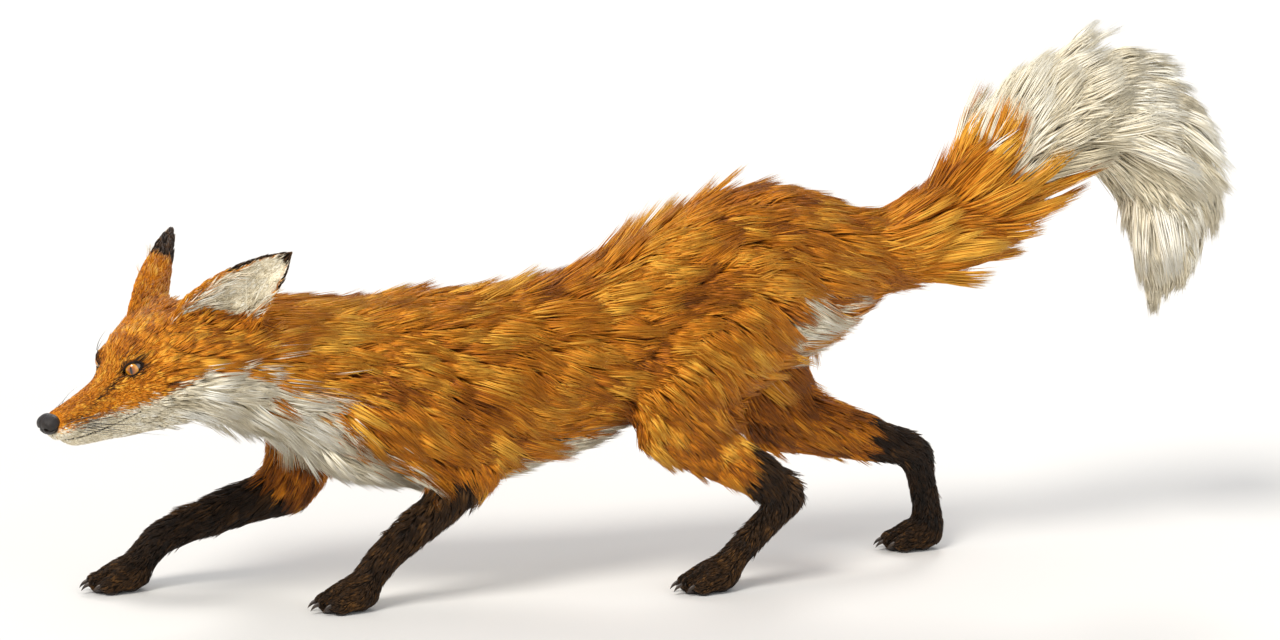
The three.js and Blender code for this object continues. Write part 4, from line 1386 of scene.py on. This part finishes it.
brush_along = onto_path(centre * MM, TAIL_BONE)[1] / MM
BRUSH_PARTED = 215  # where along its bone the brush's coat is divided into two pieces
brush = {"joints": 3, "messy": 10, "gather": (0.74, 0.5), "inset_most": 0.16}
grow("coat_face", on("head", "lower_jaw") & (centre_head[:, 1] < 8), "russet_fur", 11, stand=0, messy=5)
grow("coat_cheeks", on("head", "lower_jaw") & (centre_head[:, 1] >= 8), "russet_fur", 12, messy=7)
grow("coat_ears", on("ear"), "russet_fur", 13, stand=0, messy=7, under=0)
grow("coat_ear_fringe", on("ear") & fringe[triangles].all(axis=1), "pale_fur", 24, count=0.55, stand=14,
     messy=16, longer=3.6, under=0, gather=(0.4, 0.2))
grow("coat_neck", on("neck"), "russet_fur", 14)
grow("coat_shoulders", on("trunk") & (centre[:, 1] < -150), "russet_fur", 15)
grow("coat_ribs", on("trunk") & (centre[:, 1] >= -150) & (centre[:, 1] < -55), "russet_fur", 16)
grow("coat_loins", on("trunk") & (centre[:, 1] >= -55) & (centre[:, 1] < 50), "russet_fur", 23)
grow("coat_rump", on("trunk") & (centre[:, 1] >= 50), "russet_fur", 17)
grow("coat_forelegs", on("foreleg"), "russet_fur", 18, messy=5)
grow("coat_hindlegs", on("hindleg"), "russet_fur", 19, messy=5)
grow("coat_feet", on("forepaw", "hindpaw"), "dark_fur", 20, stand=0, messy=4, under=0)
grow("coat_brush_root", on("tail") & (brush_along < BRUSH_PARTED), "russet_fur", 21, **brush)
grow("coat_brush_tip", on("tail") & (brush_along >= BRUSH_PARTED), "pale_fur", 22, **brush)

# ---------------------------------------------------------------- the claws
# Blunt, slightly hooked claws of dark horn, one from the end of each toe and one higher up inside each
# foreleg. They are all cast from one pattern.
CLAW_LENGTH, CLAW_RADIUS = 11.0 * MM, 1.7 * MM
CLAW_STANDS, CLAW_AHEAD = 8.4, 9.5  # how high, and how far ahead of the toe's joint, a claw leaves its toe
CLAW_TILT, DEWCLAW_TILT = math.radians(8), math.radians(48)
DEWCLAWS = {  # how far aside, back and up from the middle of the foot
    "forepaw_left": (-15.5, 6, 33), "forepaw_right": (15.5, 6, 33)}


class Pattern(Tree):
    """A geometry tree, built node by node, with a named input for each size and finish."""

    def __init__(self, name, **sizes):
        super().__init__(bpy.data.node_groups.new(name, "GeometryNodeTree"))
        self.sizes = sizes
        for way in ("INPUT", "OUTPUT"):
            self.tree.interface.new_socket("Geometry", in_out=way, socket_type="NodeSocketGeometry")
        for size, value in sizes.items():
            kind = "NodeSocketMaterial" if isinstance(value, bpy.types.Material) else "NodeSocketFloat"
            self.tree.interface.new_socket(size, in_out="INPUT", socket_type=kind)
        self.inputs = self.node("NodeGroupInput")

    def size(self, name):
        return self.inputs.outputs[name]

    def scaled(self, vector, by):
        return self.node("ShaderNodeVectorMath", {"operation": "SCALE"}, i0=vector, Scale=by).outputs[0]

    def tapered(self, curve, radius, power, sides):
        """A solid along a curve that narrows to a point."""
        along = self.node("GeometryNodeSplineParameter").outputs["Factor"]
        left = self.sum("SUBTRACT", 1.03, self.sum("POWER", along, power))
        ring = self.node("GeometryNodeCurvePrimitiveCircle", Resolution=sides, Radius=1.0)
        return self.node("GeometryNodeCurveToMesh", Curve=curve, Profile_Curve=ring.outputs[0],
                         Scale=self.sum("MULTIPLY", radius, left), Fill_Caps=True).outputs[0]

    def ends_in(self, geometry, finish):
        whole = self.node("GeometryNodeRealizeInstances", Geometry=geometry).outputs[0]
        smooth = self.node("GeometryNodeSetShadeSmooth", Geometry=whole).outputs[0]
        done = self.node("GeometryNodeSetMaterial", Geometry=smooth, Material=finish).outputs[0]
        self.tree.links.new(done, self.node("NodeGroupOutput").inputs[0])

    def carried_out(self, piece):
        """Makes the piece a plain mesh of the pattern."""
        modifier = piece.modifiers.new(self.tree.name, "NODES")
        modifier.node_group = self.tree
        for socket in self.tree.interface.items_tree:
            if socket.in_out == "INPUT" and socket.name in self.sizes:
                modifier[socket.identifier] = self.sizes[socket.name]
        return facing_out(finished(piece))


horn = Finish("claw_horn", Roughness=0.38, Specular_IOR_Level=0.45, Coat_Weight=0.15, Coat_Roughness=0.3)
drawn_out = horn.node("ShaderNodeMapping", Vector=horn.place(), Scale=(1.0, 0.25, 1.0)).outputs[0]
layers = horn.noise(drawn_out, 900.0, 4.0, 0.6)
horn.set(horn.shader, Base_Color=horn.tones(layers, (0.3, "#17100b"), (0.55, "#35271b"), (0.8, "#5c4832")),
         Normal=horn.bump(layers, 0.25, 0.2 * MM))

claws = Pattern("claw_pattern", Length=CLAW_LENGTH, Radius=CLAW_RADIUS, Horn=horn.material)
hook = claws.node("GeometryNodeCurveQuadraticBezier", Resolution=14, Start=(0, 0, 0),
                  Middle=claws.scaled((0, -0.56, 0.10), claws.size("Length")),
                  End=claws.scaled((0, -0.96, -0.32), claws.size("Length")))
one_claw = claws.tapered(hook.outputs[0], claws.size("Radius"), 2.2, 16)
turn = claws.node("GeometryNodeInputNamedAttribute", {"data_type": "FLOAT_VECTOR"}, Name="turn").outputs[0]
turn = claws.node("FunctionNodeEulerToRotation", Euler=turn).outputs[0]
placed = claws.node("GeometryNodeInstanceOnPoints", Points=claws.size("Geometry"), Instance=one_claw,
                    Rotation=turn, Scale=(0.8, 1.0, 1.15))
claws.ends_in(placed.outputs[0], claws.size("Horn"))

claw_roots, claw_turns = [], []
for name, (way, _) in PAWS.items():
    for side, reach in TOES:
        claw_roots.append(on_foot(name, [(side, -reach - CLAW_AHEAD, CLAW_STANDS)])[0])
        claw_turns.append((CLAW_TILT, 0, math.radians(way)))
    if name in DEWCLAWS:
        at, out, _, _ = ground.find_nearest(on_foot(name, [DEWCLAWS[name]])[0])
        claw_roots.append(np.array(at) - np.array(out) * CLAW_RADIUS)
        claw_turns.append((DEWCLAW_TILT, 0, math.radians(way)))
claw_piece = mesh_object("claws", np.array(claw_roots), [])
turns_of = claw_piece.data.attributes.new("turn", "FLOAT_VECTOR", "POINT")
turns_of.data.foreach_set("vector", np.array(claw_turns).ravel())
claws.carried_out(claw_piece)
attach(claw_piece, "root")

# ---------------------------------------------------------------- the pads
# Bare black pads under each foot: one under the palm, of three lobes, and one under each toe.
PADS = [  # the middle of each lobe or pad, and half its size
    ((0, -4.5, 2.4), (7.6, 6.2, 2.4)),
    ((-5.6, 1.5, 2.3), (4.6, 5.4, 2.3)),
    ((5.6, 1.5, 2.3), (4.6, 5.4, 2.3))]
PADS += [((side, -reach - 4.0, 2.2), (3.5, 5.4, 2.2)) for side, reach in TOES]
pad_skin = Finish("pad_skin", Roughness=0.62, Specular_IOR_Level=0.4)
grains = pad_skin.node("ShaderNodeTexVoronoi", Vector=pad_skin.place(), Scale=1500.0).outputs[0]
pad_skin.set(pad_skin.shader,
             Base_Color=pad_skin.tones(grains, (0.2, "#1b1512"), (0.7, "#2e2520"), (1.0, "#40342d")),
             Normal=pad_skin.bump(grains, 0.4, 0.3 * MM))
all_pads = joined(pad for name in PAWS for pad in blobs_on_foot(name, PADS, 24, 14))
pads = facing_out(mesh_object("paw_pads", *all_pads))
pads.data.materials.append(pad_skin.material)
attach(pads, "root")

# ---------------------------------------------------------------- the whiskers
# Stiff dark whiskers in rows on each whisker pad, with two over each eye and one low on each cheek. They
# sweep back along the face, each on a bend of its own, and taper to nothing.
WHISKER_RADIUS = 0.3 * MM
WHISKER_STEPS = 12
WHISKER_ROWS = [  # how high, how far back, and how many
    (-19.5, 0, 3), (-22.5, 1.5, 4), (-25.5, 3, 4), (-28.5, 4.5, 4)]
WHISKER_SUNK = 1.5  # how far a whisker's root lies in the skin
rng = np.random.default_rng(31)
strands = []  # where each starts in the head's directions, the way it leaves, how it bends, and its length
for row, (up, reach_back, columns) in enumerate(WHISKER_ROWS):
    for column in range(columns):
        start = (11.2 + 1.1 * column + 0.5 * row, -66 + 5.2 * column + reach_back, up - 0.6 * column)
        long = 26 + 8.5 * column + rng.uniform(-3, 3)
        strands.append((start, (0.80, 0.55, 0.16 - 0.14 * row), (-0.16, 0.34, -0.12), long))
strands += [
    ((19, -6, 13), (0.4, 0.62, 0.7), (0.1, 0.4, -0.3), 19),
    ((15.5, -9, 11), (0.35, 0.5, 0.78), (0.1, 0.4, -0.3), 14),
    ((33, 4, -24), (0.8, 0.5, -0.35), (-0.1, 0.4, -0.2), 24)]
whisker_points, whisker_edges = [], []
for side in (1, -1):
    for start, leaves, bends, long in strands:
        leaves = unit(np.array(leaves) + rng.normal(0, 0.05, 3))
        t = np.linspace(0, 1, WHISKER_STEPS + 1)[:, None]
        path = start + long * (t * leaves + t ** 2 * np.array(bends))
        path -= leaves * WHISKER_SUNK
        first = len(whisker_points) * (WHISKER_STEPS + 1)
        whisker_points.append(from_head(path * (side, 1, 1)))
        whisker_edges += [(first + i, first + i + 1) for i in range(WHISKER_STEPS)]
bristle = Finish("whisker_bristle", Roughness=0.4, Specular_IOR_Level=0.4)
bristle_tone = bristle.tones(bristle.noise(bristle.place(), 60.0), (0.3, "#120d0a"), (0.7, "#2b2019"))
bristle.set(bristle.shader, Base_Color=bristle_tone)
whisker_pattern = Pattern("whisker_pattern", Radius=WHISKER_RADIUS, Bristle=bristle.material)
threads = whisker_pattern.node("GeometryNodeMeshToCurve", Mesh=whisker_pattern.size("Geometry")).outputs[0]
strand = whisker_pattern.tapered(threads, whisker_pattern.size("Radius"), 1.0, 6)
whisker_pattern.ends_in(strand, whisker_pattern.size("Bristle"))
whiskers = mesh_object("whiskers", np.vstack(whisker_points), [], whisker_edges)
whisker_pattern.carried_out(whiskers)
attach(whiskers, "root")

# ---------------------------------------------------------------- the floor, the light and the camera
# A pale studio floor and soft light. The fox is seen from its left side, a little from the front and above.
FLOOR_HALF = 30
floor_corners = [(x * FLOOR_HALF, y * FLOOR_HALF, 0) for x, y in ((-1, -1), (1, -1), (1, 1), (-1, 1))]
floor = mesh_object("floor", floor_corners, [(0, 1, 2, 3)])
floor_finish = Finish("studio_floor", Roughness=0.9)
clouds = floor_finish.noise(floor_finish.place(), 1.5)
floor_tone = floor_finish.tones(clouds, (0.3, "#dad8d4"), (0.7, "#dedcd8"))
floor_finish.set(floor_finish.shader, Base_Color=floor_tone)
floor.data.materials.append(floor_finish.material)

scene = bpy.context.scene
scene.view_settings.view_transform = "Standard"
world = bpy.data.worlds.new("studio")
world.use_nodes = True
sky = world.node_tree.nodes["Background"]
sky.inputs["Color"].default_value = (0.93, 0.95, 1.0, 1)
sky.inputs["Strength"].default_value = 0.70
scene.world = world


def lamp(name, place, softness, power, tint):
    """A distant soft light that shines from a place towards the fox."""
    light = bpy.data.lights.new(name, "SUN")
    light.angle, light.energy, light.color = math.radians(softness), power, tint
    holder = put_in_scene(name, light)
    holder.location = place
    holder.rotation_euler = (-Vector(place)).to_track_quat("-Z", "Y").to_euler()


lamp("key", (1.5, -1.4, 2.3), 22, 2.45, (1.0, 0.97, 0.92))
lamp("fill", (1.9, 1.5, 0.9), 40, 0.5, (0.92, 0.96, 1.0))
lamp("rim", (-1.7, 0.6, 1.7), 20, 1.0, (1.0, 0.98, 0.95))

VIEW_AZIMUTH, VIEW_ELEVATION = math.radians(78), math.radians(11)
VIEW_DISTANCE = 3.43
aim = Vector((0.0, -0.004, 0.216))
back_off = Vector((math.sin(VIEW_AZIMUTH) * math.cos(VIEW_ELEVATION),
                   -math.cos(VIEW_AZIMUTH) * math.cos(VIEW_ELEVATION), math.sin(VIEW_ELEVATION)))
camera = bpy.data.cameras.new("camera")
camera.lens = 120
camera.sensor_width = 36
holder = put_in_scene("camera", camera)
holder.location = aim + back_off * VIEW_DISTANCE
holder.rotation_euler = (-back_off).to_track_quat("-Z", "Y").to_euler()
scene.camera = holder
